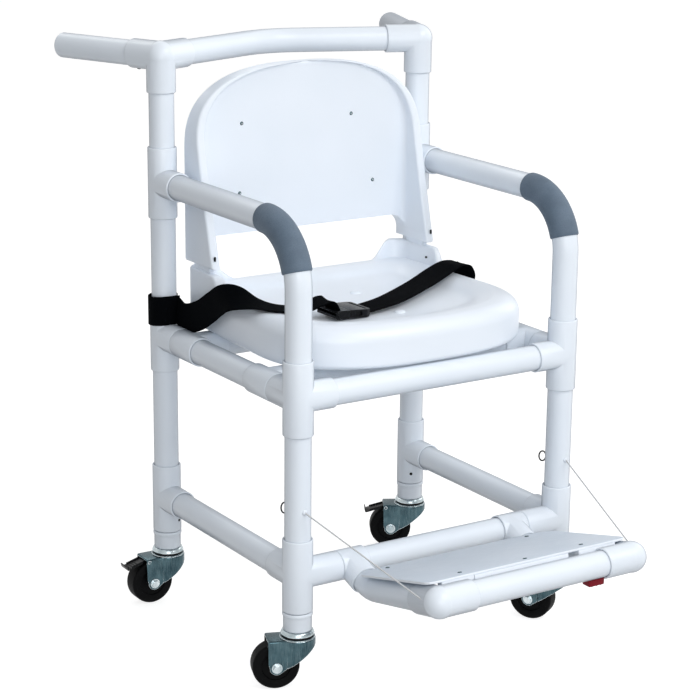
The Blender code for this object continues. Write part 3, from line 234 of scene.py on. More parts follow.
RIGHT_STRAP = (
    ((0.0100, -0.0700, 0.5640), (-0.30, 0.95, 0.0)),
    ((0.1010, -0.0200, 0.5680), (-0.45, 0.89, 0.0)),
    ((0.1700, 0.0210, 0.5740), (-0.42, 0.90, 0.02)),
    ((0.2100, 0.0380, 0.5800), (-0.24, 0.97, 0.0)),
    ((0.2360, 0.0450, 0.5760), (-0.10, 0.99, 0.0)),
    ((0.2500, 0.0500, 0.5610), (0.0, 0.99, 0.12)),
    ((0.2520, 0.0700, 0.5400), (0.0, 0.80, 0.60)),
    ((0.2450, 0.1050, 0.5270), (0.0, 0.35, 0.94)),
    ((0.2420, 0.1500, 0.5230), (0.0, 0.05, 1.0)),
)

WHEEL_R = 0.0380
WHEEL_WIDTH = 0.0300
WHEEL_HUB_WIDTH = 0.0360
WHEEL_ROUND = 0.0050
TRAIL = 0.0360
FORK_INNER = 0.0370
FORK_SHEET = 0.0025
FORK_TOP_Z = 0.0830
FORK_TAIL = 0.0500
CROWN_R = 0.0290
CROWN_DEPTH = 0.0110
AXLE_BOSS_R = 0.0115
AXLE_R = 0.0040
KINGPIN_R = 0.0062
KING_NUT_R = 0.0095
KING_NUT = 0.0040
RACE_R = 0.0270
STEM_R = 0.0165
STEM_RISE = 0.0200
CASTER_TURN = {
    "front_left": radians(159),
    "rear_left": radians(179),
    "front_right": radians(120),
    "rear_right": radians(150),
}
PEDAL_PIN_R = 0.0016
PEDAL_PIN = (0.0455, 0, FORK_TOP_Z - 0.0048)
PEDAL_LENGTH = 0.0380
PEDAL_WIDTH = 0.0260
PEDAL_THICK = 0.0022
PEDAL_SLOPE = radians(16)
PEDAL_LIP = 0.0070

HANDLE_SOFT = HANDLE_ROUND / 4
HANDLE_END_Y = (POST_Y + (HANDLE_REACH - HANDLE_SOFT) * cos(TOP_TURN)
                + (PIPE_R - HANDLE_SOFT) * sin(TOP_TURN))
FOOT_FRONT_Y = -POST_Y - FOOT_REACH - HUB_R - BALL_SWELL
MIDDLE_Y = -(HANDLE_END_Y + FOOT_FRONT_Y) / 2

# Fineness
ROUND = 56
BEND = 22
SHARP = 38
TINY = 1e-6

STILL = Matrix()
UP = Vector((0, 0, 1))
DOWN = -UP
AHEAD = Vector((0, -1, 0))
BEHIND = -AHEAD
RIGHTWARD = Vector((1, 0, 0))

BODIES = frame["record"]["behaviour"]["bodies"]
BODY_OF = {node: body for body, nodes in BODIES.items() for node in nodes}
SIDES = (-1, 1)
MARKS = ((-1, "left"), (1, "right"))


# Placement


def shift(x, y, z):
    """A move by one step."""
    return Matrix.Translation((x, y, z))


def rotation(angle, axis):
    """A turn about one of the axes X, Y and Z."""
    return Matrix.Rotation(angle, 4, axis)


def aim(direction, at=(0, 0, 0)):
    """Local Z along the direction and local X level."""
    z = Vector(direction).normalized()
    x = UP.cross(z)
    if x.length < TINY:
        x = RIGHTWARD.copy()
    x.normalize()
    y = z.cross(x)
    place = Matrix((x, y, z)).transposed().to_4x4()
    place.translation = at
    return place


CHAIR = shift(0, MIDDLE_Y, 0)
FOLD = CHAIR @ shift(0, -POST_Y, BASE_Z)


# Meshes


def added(name, data):
    """A new object in the scene."""
    obj = bpy.data.objects.new(name, data)
    bpy.context.scene.collection.objects.link(obj)
    return obj


def mesh_of(verts, faces, sharp=SHARP):
    """A smooth mesh whose edges stay sharp where they turn by more than an angle."""
    mesh = bpy.data.meshes.new("fine")
    mesh.from_pydata([tuple(point) for point in verts], [], faces)
    mesh.validate()
    mesh.shade_smooth()
    mesh.set_sharp_from_angle(angle=radians(sharp))
    return mesh


def revolve(profile, sides=ROUND, sharp=SHARP):
    """A turned solid from (radius, height) points, or a ring if the last is the first."""
    ring = profile[0] == profile[-1]
    rows = profile[:-1] if ring else profile
    verts = []
    marks = []
    for radius, height in rows:
        if radius < TINY:
            marks.append([len(verts)] * sides)
            verts.append((0, 0, height))
        else:
            marks.append(list(range(len(verts), len(verts) + sides)))
            verts += [(radius * cos(tau * i / sides), radius * sin(tau * i / sides), height)
                      for i in range(sides)]
    faces = []
    pairs = list(zip(marks, marks[1:]))
    if ring:
        pairs.append((marks[-1], marks[0]))
    for upper, lower in pairs:
        for i in range(sides):
            j = (i + 1) % sides
            face = [upper[i], lower[i], lower[j], upper[j]]
            face = [v for k, v in enumerate(face) if v != face[k - 1]]
            if len(face) > 2:
                faces.append(face)
    mesh = mesh_of(verts, faces, sharp)
    outward(mesh)
    return mesh


def headings(path):
    """The way a path runs at each of its points."""
    return [(after - before).normalized()
            for before, after in zip([path[0], *path[:-1]], [*path[1:], path[-1]])]


def frames_along(path):
    """Unturning (point, side, over) frames along a path."""
    path = [Vector(point) for point in path]
    ways = headings(path)
    side = UP.cross(ways[0])
    if side.length < 100 * TINY:
        side = RIGHTWARD.copy()
    frames = []
    for point, way in zip(path, ways):
        side = (side - way * side.dot(way)).normalized()
        frames.append((point, side, way.cross(side)))
    return frames


def bar(path, radii, sides=ROUND):
    """A round closed bar along a path. radii is one number or one for each point."""
    frames = frames_along(path)
    if isinstance(radii, float):
        radii = [radii] * len(frames)
    return lofted([
        [point + side * radius * cos(tau * i / sides) + over * radius * sin(tau * i / sides)
         for i in range(sides)]
        for (point, side, over), radius in zip(frames, radii)
    ])


def lofted(rings, sharp=SHARP):
    """A closed skin through rings of equally many points."""
    count = len(rings[0])
    verts = [point for ring in rings for point in ring]
    faces = [(low + i, low + (i + 1) % count, low + count + (i + 1) % count, low + count + i)
             for low in range(0, len(verts) - count, count) for i in range(count)]
    faces.append(tuple(range(count))[::-1])
    faces.append(tuple(range(len(verts) - count, len(verts))))
    mesh = mesh_of(verts, faces, sharp)
    outward(mesh)
    return mesh


def outward(mesh):
    """Turns the faces of a closed mesh outwards."""
    work = bmesh.new()
    work.from_mesh(mesh)
    bmesh.ops.recalc_face_normals(work, faces=work.faces)
    work.to_mesh(mesh)
    work.free()


def ball(radius, sides=ROUND):
    steps = sides // 2
    profile = [(radius * sin(pi * i / steps), radius * cos(pi * i / steps))
               for i in range(steps + 1)]
    profile[0] = (0.0, radius)
    profile[-1] = (0.0, -radius)
    return revolve(profile, sides, 180)


def block(size):
    mesh = bpy.data.meshes.new("block")
    work = bmesh.new()
    bmesh.ops.create_cube(work, size=1)
    bmesh.ops.scale(work, vec=size, verts=work.verts)
    work.to_mesh(mesh)
    work.free()
    return mesh


def drum(radius, low, high, sides=24, sharp=SHARP):
    """A plain pin along Z."""
    return revolve([(0.0, high), (radius, high), (radius, low), (0.0, low)], sides, sharp)


def around(radius, height, steps):
    """Points of a turned profile from their steps away from one radius and height."""
    return [(radius + out, height + up) for out, up in steps]


def both_sides(half):
    """The (x, y, radius) corners of half a loop, then the same mirrored across the X axis."""
    return half + [(x, -y, radius) for x, y, radius in reversed(half)]


def prism(outline, low, high):
    """A flat outline in XY raised from low to high."""
    return lofted([[(x, y, low) for x, y in outline], [(x, y, high) for x, y in outline]])


def softened(mesh, width, steps=3, angle=35):
    """The mesh with its sharp edges rounded."""
    guide = added("guide", mesh)
    edge = guide.modifiers.new("edge", "BEVEL")
    edge.width = width
    edge.segments = steps
    edge.limit_method = "ANGLE"
    edge.angle_limit = radians(angle)
    edge.harden_normals = False
    return taken(guide)


def carved(mesh, tools, operation="DIFFERENCE"):
    """The mesh cut by, joined with or kept inside other (mesh, place) shapes."""
    guide = added("guide", mesh)
    helpers = []
    for tool, place in tools:
        helper = added("helper", tool)
        helper.matrix_world = place
        helpers.append(helper)
        step = guide.modifiers.new("step", "BOOLEAN")
        step.operation = operation
        step.object = helper
    result = taken(guide)
    for helper in helpers:
        bpy.data.objects.remove(helper)
    return result


def taken(guide):
    """The evaluated mesh of a helper object, which is then removed."""
    bpy.context.view_layer.update()
    graph = bpy.context.evaluated_depsgraph_get()
    mesh = bpy.data.meshes.new_from_object(guide.evaluated_get(graph))
    bpy.data.objects.remove(guide)
    mesh.shade_smooth()
    mesh.set_sharp_from_angle(angle=radians(SHARP))
    return mesh


def joined(parts):
    """One skin of closed (mesh, place) parts that run into each other."""
    first, place = parts[0]
    first = first.copy()
    first.transform(place)
    return carved(first, parts[1:], "UNION")


def merged(parts):
    """One mesh of several (mesh, place) parts."""
    work = bmesh.new()
    for mesh, place in parts:
        copy = mesh.copy()
        copy.transform(place)
        if place.determinant() < 0:
            copy.flip_normals()
        work.from_mesh(copy)
        bpy.data.meshes.remove(copy)
    result = bpy.data.meshes.new("merged")
    work.to_mesh(result)
    work.free()
    return result


def piece(name, parts, look, body="chair", node=None):
    """A shown piece of (mesh, place) parts that rides on a body in the look of one material."""
    obj = added(name, merged(parts))
    obj.data.materials.clear()
    obj.data.materials.append(MATERIALS[look])
    for face in obj.data.polygons:
        face.material_index = 0
    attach(obj, body)
    if node:
        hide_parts(node)


def form(node, parts, look):
    """The piece that stands for one of the frame's nodes."""
    piece(f"{node}_form", parts, look, BODY_OF[node], node)


# Paths


def arc_corner(before, corner, after, radius, steps):
    """Points of the arc that rounds one corner."""
    back = (before - corner).normalized()
    out = (after - corner).normalized()
    half = back.angle(out) / 2
    centre = corner + (back + out).normalized() * radius / sin(half)
    first = corner + back * radius / tan(half) - centre
    last = corner + out * radius / tan(half) - centre
    sweep = first.angle(last)
    shares = [step / steps for step in range(steps + 1)]
    return [centre + first * sin((1 - share) * sweep) / sin(sweep)
            + last * sin(share * sweep) / sin(sweep) for share in shares]


def quarter(radius, steps):
    """The two falls from the sides of a square corner round its arc, from one side to the other."""
    angles = [pi / 2 * step / steps for step in range(steps + 1)]
    return [(radius * (1 - sin(angle)), radius * (1 - cos(angle))) for angle in angles]


def rounded(points, radius, steps=BEND):
    """A line through the points with each inner corner turned to an arc."""
    points = [Vector(point) for point in points]
    path = [points[0]]
    for before, corner, after in zip(points, points[1:], points[2:]):
        path += arc_corner(before, corner, after, radius, steps)
    path.append(points[-1])
    return path


def rounded_loop(corners, steps=5):
    """A closed flat outline from (x, y, radius) corners."""
    outline = []
    count = len(corners)
    for i, (x, y, radius) in enumerate(corners):
        here = Vector((x, y))
        before = Vector(corners[i - 1][:2])
        after = Vector(corners[(i + 1) % count][:2])
        if radius < TINY:
            outline.append((x, y))
            continue
        turn = (before - here).normalized().angle((after - here).normalized())
        reach = radius / tan(turn / 2)
        room = 0.49 * min((before - here).length, (after - here).length)
        if reach > room:
            radius *= room / reach
        outline += [(p.x, p.y) for p in arc_corner(before, here, after, radius, steps)]
    return outline


def stretch(path, start, end):
    """The piece of a path between two distances along it."""
    marks = []
    run = 0.0
    for a, b in zip(path, path[1:]):
        length = (b - a).length
        for mark in (start, end):
            if run <= mark <= run + length:
                marks.append((mark, a.lerp(b, (mark - run) / length)))
        run += length
        if start < run < end:
            marks.append((run, b))
    marks.sort(key=lambda entry: entry[0])
    return [point for _, point in marks]


def catmull(points, steps):
    """A smooth curve through points of any dimension."""
    ends = [points[0] * 2 - points[1], *points, points[-1] * 2 - points[-2]]
    curve = []
    for a, b, c, d in zip(ends, ends[1:], ends[2:], ends[3:]):
        for step in range(steps):
            t = step / steps
            curve.append((
                b * 2 + (c - a) * t + (a * 2 - b * 5 + c * 4 - d) * t * t
                + (b * 3 - a - c * 3 + d) * t ** 3
            ) / 2)
    curve.append(points[-1])
    return curve


def smoothstep(value):
    """An even rise from 0 to 1 as the value does, flat outside."""
    value = min(max(value, 0.0), 1.0)
    return value * value * (3 - 2 * value)


# Materials


class Nodes:
    """A node tree whose inputs take numbers, colours or other nodes' sockets."""

    def __init__(self, owner):
        owner.use_nodes = True
        self.owner = owner
        self.tree = owner.node_tree
        self.coords = self.tree.nodes.new("ShaderNodeTexCoord").outputs

    def feed(self, socket, value):
        if isinstance(value, bpy.types.NodeSocket):
            self.tree.links.new(value, socket)
        elif socket.type == "RGBA":
            socket.default_value = (*value, 1)
        else:
            socket.default_value = value

    def add(self, kind, output, inputs=None, **settings):
        """One output of a new node."""
        made = self.tree.nodes.new(f"ShaderNode{kind}")
        for key, value in settings.items():
            setattr(made, key, value)
        for key, value in (inputs or {}).items():
            self.feed(made.inputs[key], value)
        return made.outputs[output]

    def math(self, operation, a, b=0.0):
        return self.add("Math", 0, {0: a, 1: b}, operation=operation)

    def ramp(self, value, low, high, to_low=0.0, to_high=1.0):
        return self.add("MapRange", "Result", {"Value": value, "From Min": low, "From Max": high,
                                               "To Min": to_low, "To Max": to_high})

    def mix(self, share, a, b):
        return self.add("Mix", 2, {0: share, 6: a, 7: b}, data_type="RGBA")


class Look(Nodes):
    """One material, with textures over the place in metres."""

    def __init__(self, name):
        super().__init__(bpy.data.materials.new(name))
        self.shader = self.tree.nodes["Principled BSDF"]
        self.place = self.coords["Object"]

    def set(self, name, value):
        self.feed(self.shader.inputs[name], value)

    def noise(self, scale, detail=3, roughness=0.5, vector=None):
        vector = self.place if vector is None else vector
        return self.add("TexNoise", "Fac", {"Vector": vector, "Scale": scale, "Detail": detail,
                                            "Roughness": roughness})

    def stretched(self, scale):
        return self.add("Mapping", "Vector", {"Vector": self.place, "Scale": scale})

    def bevel(self, radius):
        return self.add("Bevel", "Normal", {"Radius": radius}, samples=6)

    def painted_seam_shade(self, colour, dark, reach):
        """The colour, with painted shade where the surface runs into a seam or corner."""
        shade = self.add("AmbientOcclusion", "AO", {"Distance": reach}, samples=8)
        return self.mix(self.ramp(shade, 0.05, 0.42), dark, colour)

    def edges(self, reach):
        """How near the surface is to one of its edges, from 0 to 1."""
        plain = self.add("NewGeometry", "Normal")
        same = self.add("VectorMath", "Value", {0: self.bevel(reach), 1: plain},
                        operation="DOT_PRODUCT")
        return self.ramp(same, 0.985, 0.86)

    def finish(self, colour, roughness, heights, soft_edges=0.0):
        """Bumps come from (height, depth in metres) pairs, over edges that look rounded."""
        self.set("Base Color", colour)
        self.set("Roughness", roughness)
        normal = self.bevel(soft_edges) if soft_edges else None
        for height, depth in heights:
            inputs = {"Height": height, "Distance": depth, "Strength": 1.0}
            if normal is not None:
                inputs["Normal"] = normal
            normal = self.add("Bump", "Normal", inputs)
        self.set("Normal", normal)
        return self.owner


def white_plastic(name, pale, deep, rough, waves, edge, outline):
    """White plastic with painted shade in its seams, painted shade where a round side turns away if
    outline is above 0, and a painted highlight near its edges if edge is above 0.
    """
    look = Look(name)
    broad = look.noise(9, 1)
    fine = look.noise(120, 1)
    colour = look.mix(look.ramp(broad, 0.3, 0.7), pale, deep)
    if outline:
        # Painted shade: a darker blue-grey and less shine where the surface turns away from view.
        away = look.add("LayerWeight", "Facing", {"Blend": 0.5})
        colour = look.mix(look.ramp(away, 0.55, 0.92, 0, outline), colour, (0.24, 0.28, 0.34))
        look.set("Specular IOR Level", look.ramp(away, 0.5, 0.9, 0.5, 0.2))
    # Painted shade in seams and corners, from ambient occlusion.
    colour = look.painted_seam_shade(colour, tuple(0.6 * part for part in deep), 0.003)
    # Painted highlight: a whiter colour near edges and socket rims.
    if edge:
        colour = look.mix(look.edges(0.0014), colour, (0.93, 0.96, 1.0))
    gloss = look.math("ADD", look.ramp(broad, 0.2, 0.8, rough - 0.02, rough + 0.02),
                      look.ramp(fine, 0.2, 0.8, -0.002, 0.002))
    look.set("IOR", 1.5)
    return look.finish(colour, gloss, [(look.noise(waves, 0), 0.00025)], edge)


def foam():
    look = Look("slate_grip")
    broad = look.noise(30, 4)
    pores = look.add("TexVoronoi", "Distance", {"Vector": look.place, "Scale": 900})
    colour = look.mix(look.ramp(broad, 0.35, 0.65), (0.088, 0.128, 0.178), (0.112, 0.158, 0.215))
    colour = look.mix(look.ramp(pores, 0.05, 0.35), (0.06, 0.09, 0.13), colour)
    return look.finish(colour, look.ramp(pores, 0, 0.6, 0.82, 0.62),
                       [(pores, 0.00025), (look.noise(60), 0.0004)])


def board():
    """Pale sheet for the footplate: grey on its faces, whiter where its edge was cut."""
    look = Look("grey_plate")
    grain = look.noise(1, 4, vector=look.stretched((60, 900, 900)))
    broad = look.noise(14, 4)
    face = look.mix(look.ramp(broad, 0.3, 0.7), (0.60, 0.675, 0.765), (0.65, 0.72, 0.81))
    face = look.mix(look.ramp(grain, 0.35, 0.65, 0, 0.25), face, (0.52, 0.59, 0.68))
    way = look.add("SeparateXYZ", "Z", {"Vector": look.coords["Normal"]})
    level = look.ramp(look.math("ABSOLUTE", way), 0.55, 0.9)
    return look.finish(look.mix(level, (0.78, 0.82, 0.87), face),
                       look.ramp(grain, 0.3, 0.7, 0.42, 0.55),
                       [(grain, 0.00008), (look.noise(700, 2), 0.00005)])


def webbing():
    """Woven belt: ribs along the strap crossed by the weft, from its own flat coordinates."""
    look = Look("black_webbing")
    flat = look.coords["UV"]
    ribs = look.add("TexWave", "Fac", {"Vector": flat, "Scale": 180}, bands_direction="Y")
    weft = look.add("TexWave", "Fac",
                    {"Vector": flat, "Scale": 260, "Distortion": 0.4, "Detail": 1},
                    bands_direction="DIAGONAL")
    weave = look.math("MULTIPLY", ribs, weft)
    fuzz = look.noise(500)
    colour = look.mix(weave, (0.0010, 0.0013, 0.0020), (0.0032, 0.0040, 0.0052))
    colour = look.mix(look.ramp(fuzz, 0.55, 0.8, 0, 0.4), colour, (0.006, 0.007, 0.009))
    look.set("Specular IOR Level", 0.02)
    return look.finish(colour, look.ramp(weave, 0, 1, 0.9, 0.7), [(weave, 0.0003), (fuzz, 0.0001)])


def dark_plastic():
    look = Look("black_plastic")
    grain = look.noise(900, 2)
    wear = look.ramp(look.noise(120, 4), 0.55, 0.8)
    look.set("Specular IOR Level", 0.16)
    return look.finish(look.mix(wear, (0.0022, 0.0026, 0.0036), (0.008, 0.008, 0.010)),
                       look.ramp(grain, 0.3, 0.7, 0.22, 0.38), [(grain, 0.00005)], 0.0005)


def zinc(name, pale, deep):
    """Bluish zinc plating: dark on its faces, with drawn streaks, painted shade in its seams and a
    painted highlight along its edges.
    """
    look = Look(name)
    streaks = look.noise(1, vector=look.stretched((900, 900, 60)))
    dull = look.noise(45, 4, 0.55)
    colour = look.mix(look.ramp(dull, 0.3, 0.75), pale, deep)
    colour = look.mix(look.ramp(streaks, 0.45, 0.75, 0, 0.22), colour, (0.30, 0.38, 0.40))
    # Painted shade in seams and corners, from ambient occlusion.
    colour = look.painted_seam_shade(colour, (0.012, 0.018, 0.022), 0.004)
    # Painted highlight: a near-white colour along the edges.
    colour = look.mix(look.edges(0.0012), colour, (0.85, 0.90, 0.92))
    look.set("Metallic", 0.95)
    rough = look.math("ADD", look.ramp(dull, 0.3, 0.7, 0.16, 0.30),
                      look.ramp(streaks, 0.3, 0.7, -0.04, 0.06))
    return look.finish(colour, rough, [(streaks, 0.00004), (look.noise(250), 0.00008)], 0.0005)


def rubber():
    look = Look("black_tread")
    grain = look.noise(600)
    dust = look.noise(70, 5, 0.7)
    low = look.add("SeparateXYZ", "Z", {"Vector": look.place})
    share = look.math("MULTIPLY", look.ramp(dust, 0.5, 0.85, 0, 0.5),
                      look.ramp(low, 0, 0.06, 1, 0.2))
    look.set("Specular IOR Level", 0.07)
    return look.finish(look.mix(share, (0.0012, 0.0013, 0.0016), (0.016, 0.016, 0.017)),
                       look.ramp(grain, 0.3, 0.7, 0.45, 0.65), [(grain, 0.0001)], 0.0006)


def twine():
    """Pale braided cord."""
    look = Look("cord")
    one, other = (look.add("TexWave", "Fac", {"Vector": vector, "Scale": 190},
                           bands_direction="DIAGONAL")
                  for vector in (look.place, look.stretched((-1, 1, 1))))
    braid = look.math("MAXIMUM", one, other)
    return look.finish(look.mix(braid, (0.36, 0.37, 0.39), (0.70, 0.71, 0.72)), 0.6,
                       [(braid, 0.0002)])


def red_rubber():
    look = Look("dark_red")
    grain = look.noise(500)
    look.set("Specular IOR Level", 0.2)
    share = look.ramp(grain, 0.3, 0.7)
    return look.finish(look.mix(share, (0.15, 0.002, 0.010), (0.22, 0.004, 0.014)),
                       look.ramp(grain, 0.3, 0.7, 0.42, 0.6), [(grain, 0.0001)], 0.0006)


PVC = (0.79, 0.85, 0.92), (0.765, 0.825, 0.90)
MOULDED = (0.81, 0.865, 0.94), (0.785, 0.845, 0.92)
MATERIALS = {
    "white_pvc": white_plastic("white_pvc", *PVC, 0.34, 18, 0.0, 0.9),
    # Fittings: the same plastic with a painted highlight near its edges and rims.
    "white_fitting": white_plastic("white_fitting", *PVC, 0.34, 18, 0.0020, 0.9),
    "white_moulded": white_plastic("white_moulded", *MOULDED, 0.36, 22, 0.0, 0.0),
    "slate_grip": foam(),
    "grey_plate": board(),
    "black_webbing": webbing(),
    "black_plastic": dark_plastic(),
    "zinc_plate": zinc("zinc_plate", (0.072, 0.128, 0.148), (0.022, 0.050, 0.064)),
    # A much lighter copy of the zinc plating: a painted highlight on the caster stems, their races
    # and the axle bolts.
    "zinc_turned": zinc("zinc_turned", (0.72, 0.78, 0.80), (0.30, 0.38, 0.41)),
    "black_tread": rubber(),
    "cord": twine(),
    "dark_red": red_rubber(),
}


# Frame of pipes and fittings

SEAM = 0.00012
SLEEVE_GAP = 0.0011
SLEEVE_STEP = 0.0014
LIP = 0.0017


def mouth(radius, bore, height, way):
    """Profile of a socket's rounded rim, from its outer side to its bore."""
    outer = [(radius - LIP * inward, height - way * LIP * down)
             for inward, down in ((0, 1), (0.12, 0.5), (0.45, 0.12), (1, 0))]
    return outer + [(bore + LIP * 0.5, height), (bore, height - way * LIP * 0.7)]


def hub(back, ahead, bore=PIPE_R + SEAM):
    """A socket hub along Z, open at both ends, or at one where it has no reach back."""
    rows = mouth(HUB_R, bore, ahead, 1)
    if back:
        rows += mouth(HUB_R, bore, -back, -1)[::-1]
    else:
        rows += [(bore, 0.0), (HUB_R, 0.0)]
    return revolve(rows + rows[:1])


def fitting(name, at, run, branches, ball_radius=0.0):
    """A moulded fitting on a pipe's run of (direction, reach back, reach ahead), with branches.

    A branch is (direction, reach). A reach back past TEE_REACH goes on as a slimmer sleeve.
    """
    direction, back, ahead = run
    parts = [(hub(min(back, TEE_REACH), ahead), CHAIR @ aim(direction, at))]
    if back > TEE_REACH:
        top = -TEE_REACH - SLEEVE_GAP
        slim = HUB_R - SLEEVE_STEP
        foot = mouth(slim, PIPE_R + SEAM, -back, -1)
        swell = [(slim, top - 0.0085), (slim + SLEEVE_STEP * 0.25, top - 0.0072),
                 (HUB_R - SLEEVE_STEP * 0.2, top - 0.0058), (HUB_R, top - 0.0046)]
        sleeve = swell + mouth(HUB_R, PIPE_R + SEAM, top, 1) + foot[::-1]
        parts.append((revolve(sleeve + sleeve[:1]), CHAIR @ aim(direction, at)))
    parts += [(hub(0, reach), CHAIR @ aim(way, at)) for way, reach in branches]
    if ball_radius:
        parts.append((ball(ball_radius), CHAIR @ shift(*at)))
    form(name, [(joined(parts), STILL)], "white_fitting")


def tees():
    foot = BASE_Z - SLEEVE_FOOT_Z
    for side, mark in MARKS:
        x = side * POST_X
        inward = Vector((-side, 0, 0))
        ahead = AHEAD, TEE_REACH
        behind = BEHIND, TEE_REACH
        for name, y, z, back, branches in (
            ("rear_base_tee", POST_Y, BASE_Z, foot, [ahead]),
            ("rear_seat_tee", POST_Y, SEAT_RAIL_Z, TEE_REACH, [ahead]),
            ("arm_tee", POST_Y, ARM_Z, TEE_REACH, [ahead]),
            ("front_base_tee", -POST_Y, BASE_Z, foot, [behind, (inward, FRONT_BRANCH)]),
            ("front_seat_tee", -POST_Y, SEAT_RAIL_Z, TEE_REACH, [behind, (inward, TEE_REACH)]),
        ):
            fitting(f"{name}_{mark}", (x, y, z), (UP, back, TEE_REACH), branches)
        across, rearward = top_directions(side)
        fitting(f"corner_fitting_{mark}", (x, POST_Y, TOP_Z), (DOWN, 0, TEE_REACH),
                [(across, TEE_REACH), (rearward, TEE_REACH)], HUB_R + BALL_SWELL)


def top_directions(side):
    """Ways of the crossbar and the handle out of one top corner."""
    across = Vector((-side * cos(TOP_TURN), sin(TOP_TURN), 0))
    rearward = Vector((side * sin(TOP_TURN), cos(TOP_TURN), 0))
    return across, rearward


def pipe(name, path, place=CHAIR):
    """The round pipe in place of one of the frame's pipes."""
    form(name, [(bar(path, PIPE_R), place)], "white_pvc")


def between(start, end):
    return [Vector(start), Vector(end)]


def push_handles():
    start = CORNER_STOP - HANDLE_SINK
    rows = [(0.0, HANDLE_REACH)]
    rows += [(PIPE_R - a, HANDLE_REACH - b) for a, b in quarter(HANDLE_ROUND, 8)]
    rows += [(PIPE_R, start), (0.0, start)]
    for side, mark in MARKS:
        _, rearward = top_directions(side)
        place = CHAIR @ aim(rearward, (side * POST_X, POST_Y, TOP_Z))
        form(f"push_handle_{mark}", [(revolve(rows), place)], "white_pvc")


def arm_path(side):
    x = side * POST_X
    corners = [(x, POST_Y - SOCKET_STOP, ARM_Z), (x, -POST_Y, ARM_Z), (x, -POST_Y, POST_FOOT_Z)]
    return rounded(corners, ARM_BEND_R)


def armrests():
    outer = PIPE_R + SEAM + GRIP_WALL
    soft = GRIP_WALL * 0.8
    for side, mark in MARKS:
        path = arm_path(side)
        pipe(f"armrest_{mark}", path)
        straight = (path[1] - path[0]).length
        bend = ARM_BEND_R * pi / 2
        grip = stretch(path, straight - GRIP_LEAD, straight + bend * 5 / 6 - GRIP_END)
        path = [grip[0], grip[0].lerp(grip[1], 0.12), grip[0].lerp(grip[1], 0.45), *grip[1:-1],
                grip[-2].lerp(grip[-1], 0.7), grip[-1]]
        radii = [outer - soft * 0.6, outer - soft * 0.1, outer, *([outer] * (len(grip) - 2)),
                 outer - soft * 0.05, outer - soft * 0.6]
        form(f"arm_grip_{mark}", [(bar(path, radii), CHAIR)], "slate_grip")


def straight_pipes():
    top = TOP_Z - CORNER_STOP
    y = POST_Y - SOCKET_STOP
    for side, mark in MARKS:
        x = side * POST_X
        pipe(f"back_post_{mark}", between((x, POST_Y, POST_FOOT_Z), (x, POST_Y, top)))
        for name, z in (("seat_side_rail", SEAT_RAIL_Z), ("base_side_rail", BASE_Z)):
            pipe(f"{name}_{mark}", between((x, -y, z), (x, y, z)))
    x = POST_X - SOCKET_STOP
    for name, z in (("front_seat_rail", SEAT_RAIL_Z), ("base_front_rail", BASE_Z)):
        pipe(name, between((-x, -POST_Y, z), (x, -POST_Y, z)))


def push_bar():
    start = CORNER_STOP - BAR_SINK
    ends = [Vector((side * POST_X, POST_Y, TOP_Z)) + top_directions(side)[0] * start
            for side in SIDES]
    apex = (0, POST_Y + POST_X * tan(TOP_TURN), TOP_Z)
    pipe("push_bar", rounded([ends[0], apex, ends[1]], BAR_BEND_R))


def seat_supports():
    half = SLIP_LENGTH / 2
    reach = POST_X - PIPE_R
    for name, y in (("seat_support_front", -SUPPORT_Y), ("seat_support_rear", SUPPORT_Y)):
        pipe(name, between((-reach, y, SEAT_RAIL_Z), (reach, y, SEAT_RAIL_Z)))
        hubs = []
        for side in SIDES:
            end = (side * POST_X, y, SEAT_RAIL_Z)
            tee = joined([
                (hub(half, half), CHAIR @ aim(BEHIND, end)),
                (hub(0, TEE_REACH), CHAIR @ aim((-side, 0, 0), end)),
            ])
            hubs.append((tee, STILL))
        piece(f"{name}_hubs", hubs, "white_fitting")


# Seat


def superellipse(angle, half, reach, power):
    """The (across, along) point at an angle of a squared ellipse."""
    return half * abs(cos(angle)) ** (2 / power), reach * abs(sin(angle)) ** (2 / power)


def seat_outline():
    """The seat's plan, from the middle of its front round by the right side."""
    right = [(0.0, SEAT_MID_Y - SEAT_FRONT)]
    for step in range(1, 56):
        across, along = superellipse(pi / 2 * (1 - step / 56), SEAT_HALF, SEAT_FRONT,
                                     SEAT_FRONT_POWER)
        right.append((across, SEAT_MID_Y - along))
    corner_y = SEAT_REAR_Y - SEAT_CORNER_R
    right += [(SEAT_HALF + (SEAT_REAR_HALF - SEAT_HALF) * (step / 40),
               SEAT_MID_Y + (corner_y - SEAT_MID_Y) * (step / 40)) for step in range(40)]
    for step in range(13):
        angle = pi / 2 * step / 12
        right.append((SEAT_REAR_HALF - SEAT_CORNER_R * (1 - cos(angle)),
                      corner_y + SEAT_CORNER_R * sin(angle)))
    right += [(SEAT_INNER * (1 - step / 32), SEAT_REAR_Y) for step in range(1, 33)]
    return right + [(-x, y) for x, y in reversed(right[1:-1])]


def ear_share(x, y):
    """How far the rim at this place has risen into a rear corner's ear."""
    along = smoothstep((y - EAR_FRONT_Y + EAR_FLOW) / EAR_FLOW)
    return along * smoothstep((abs(x) / SEAT_INNER - 0.8) / 0.2)


def seat_ring(inset, height, outline):
    """The seat's outline drawn in by one distance, at one height."""
    wide = 1 - inset / SEAT_HALF
    long = 1 - inset / SEAT_HALF_Y
    return [Vector((x * wide, SEAT_MIDDLE_Y + (y - SEAT_MIDDLE_Y) * long, height))
            for x, y in outline]


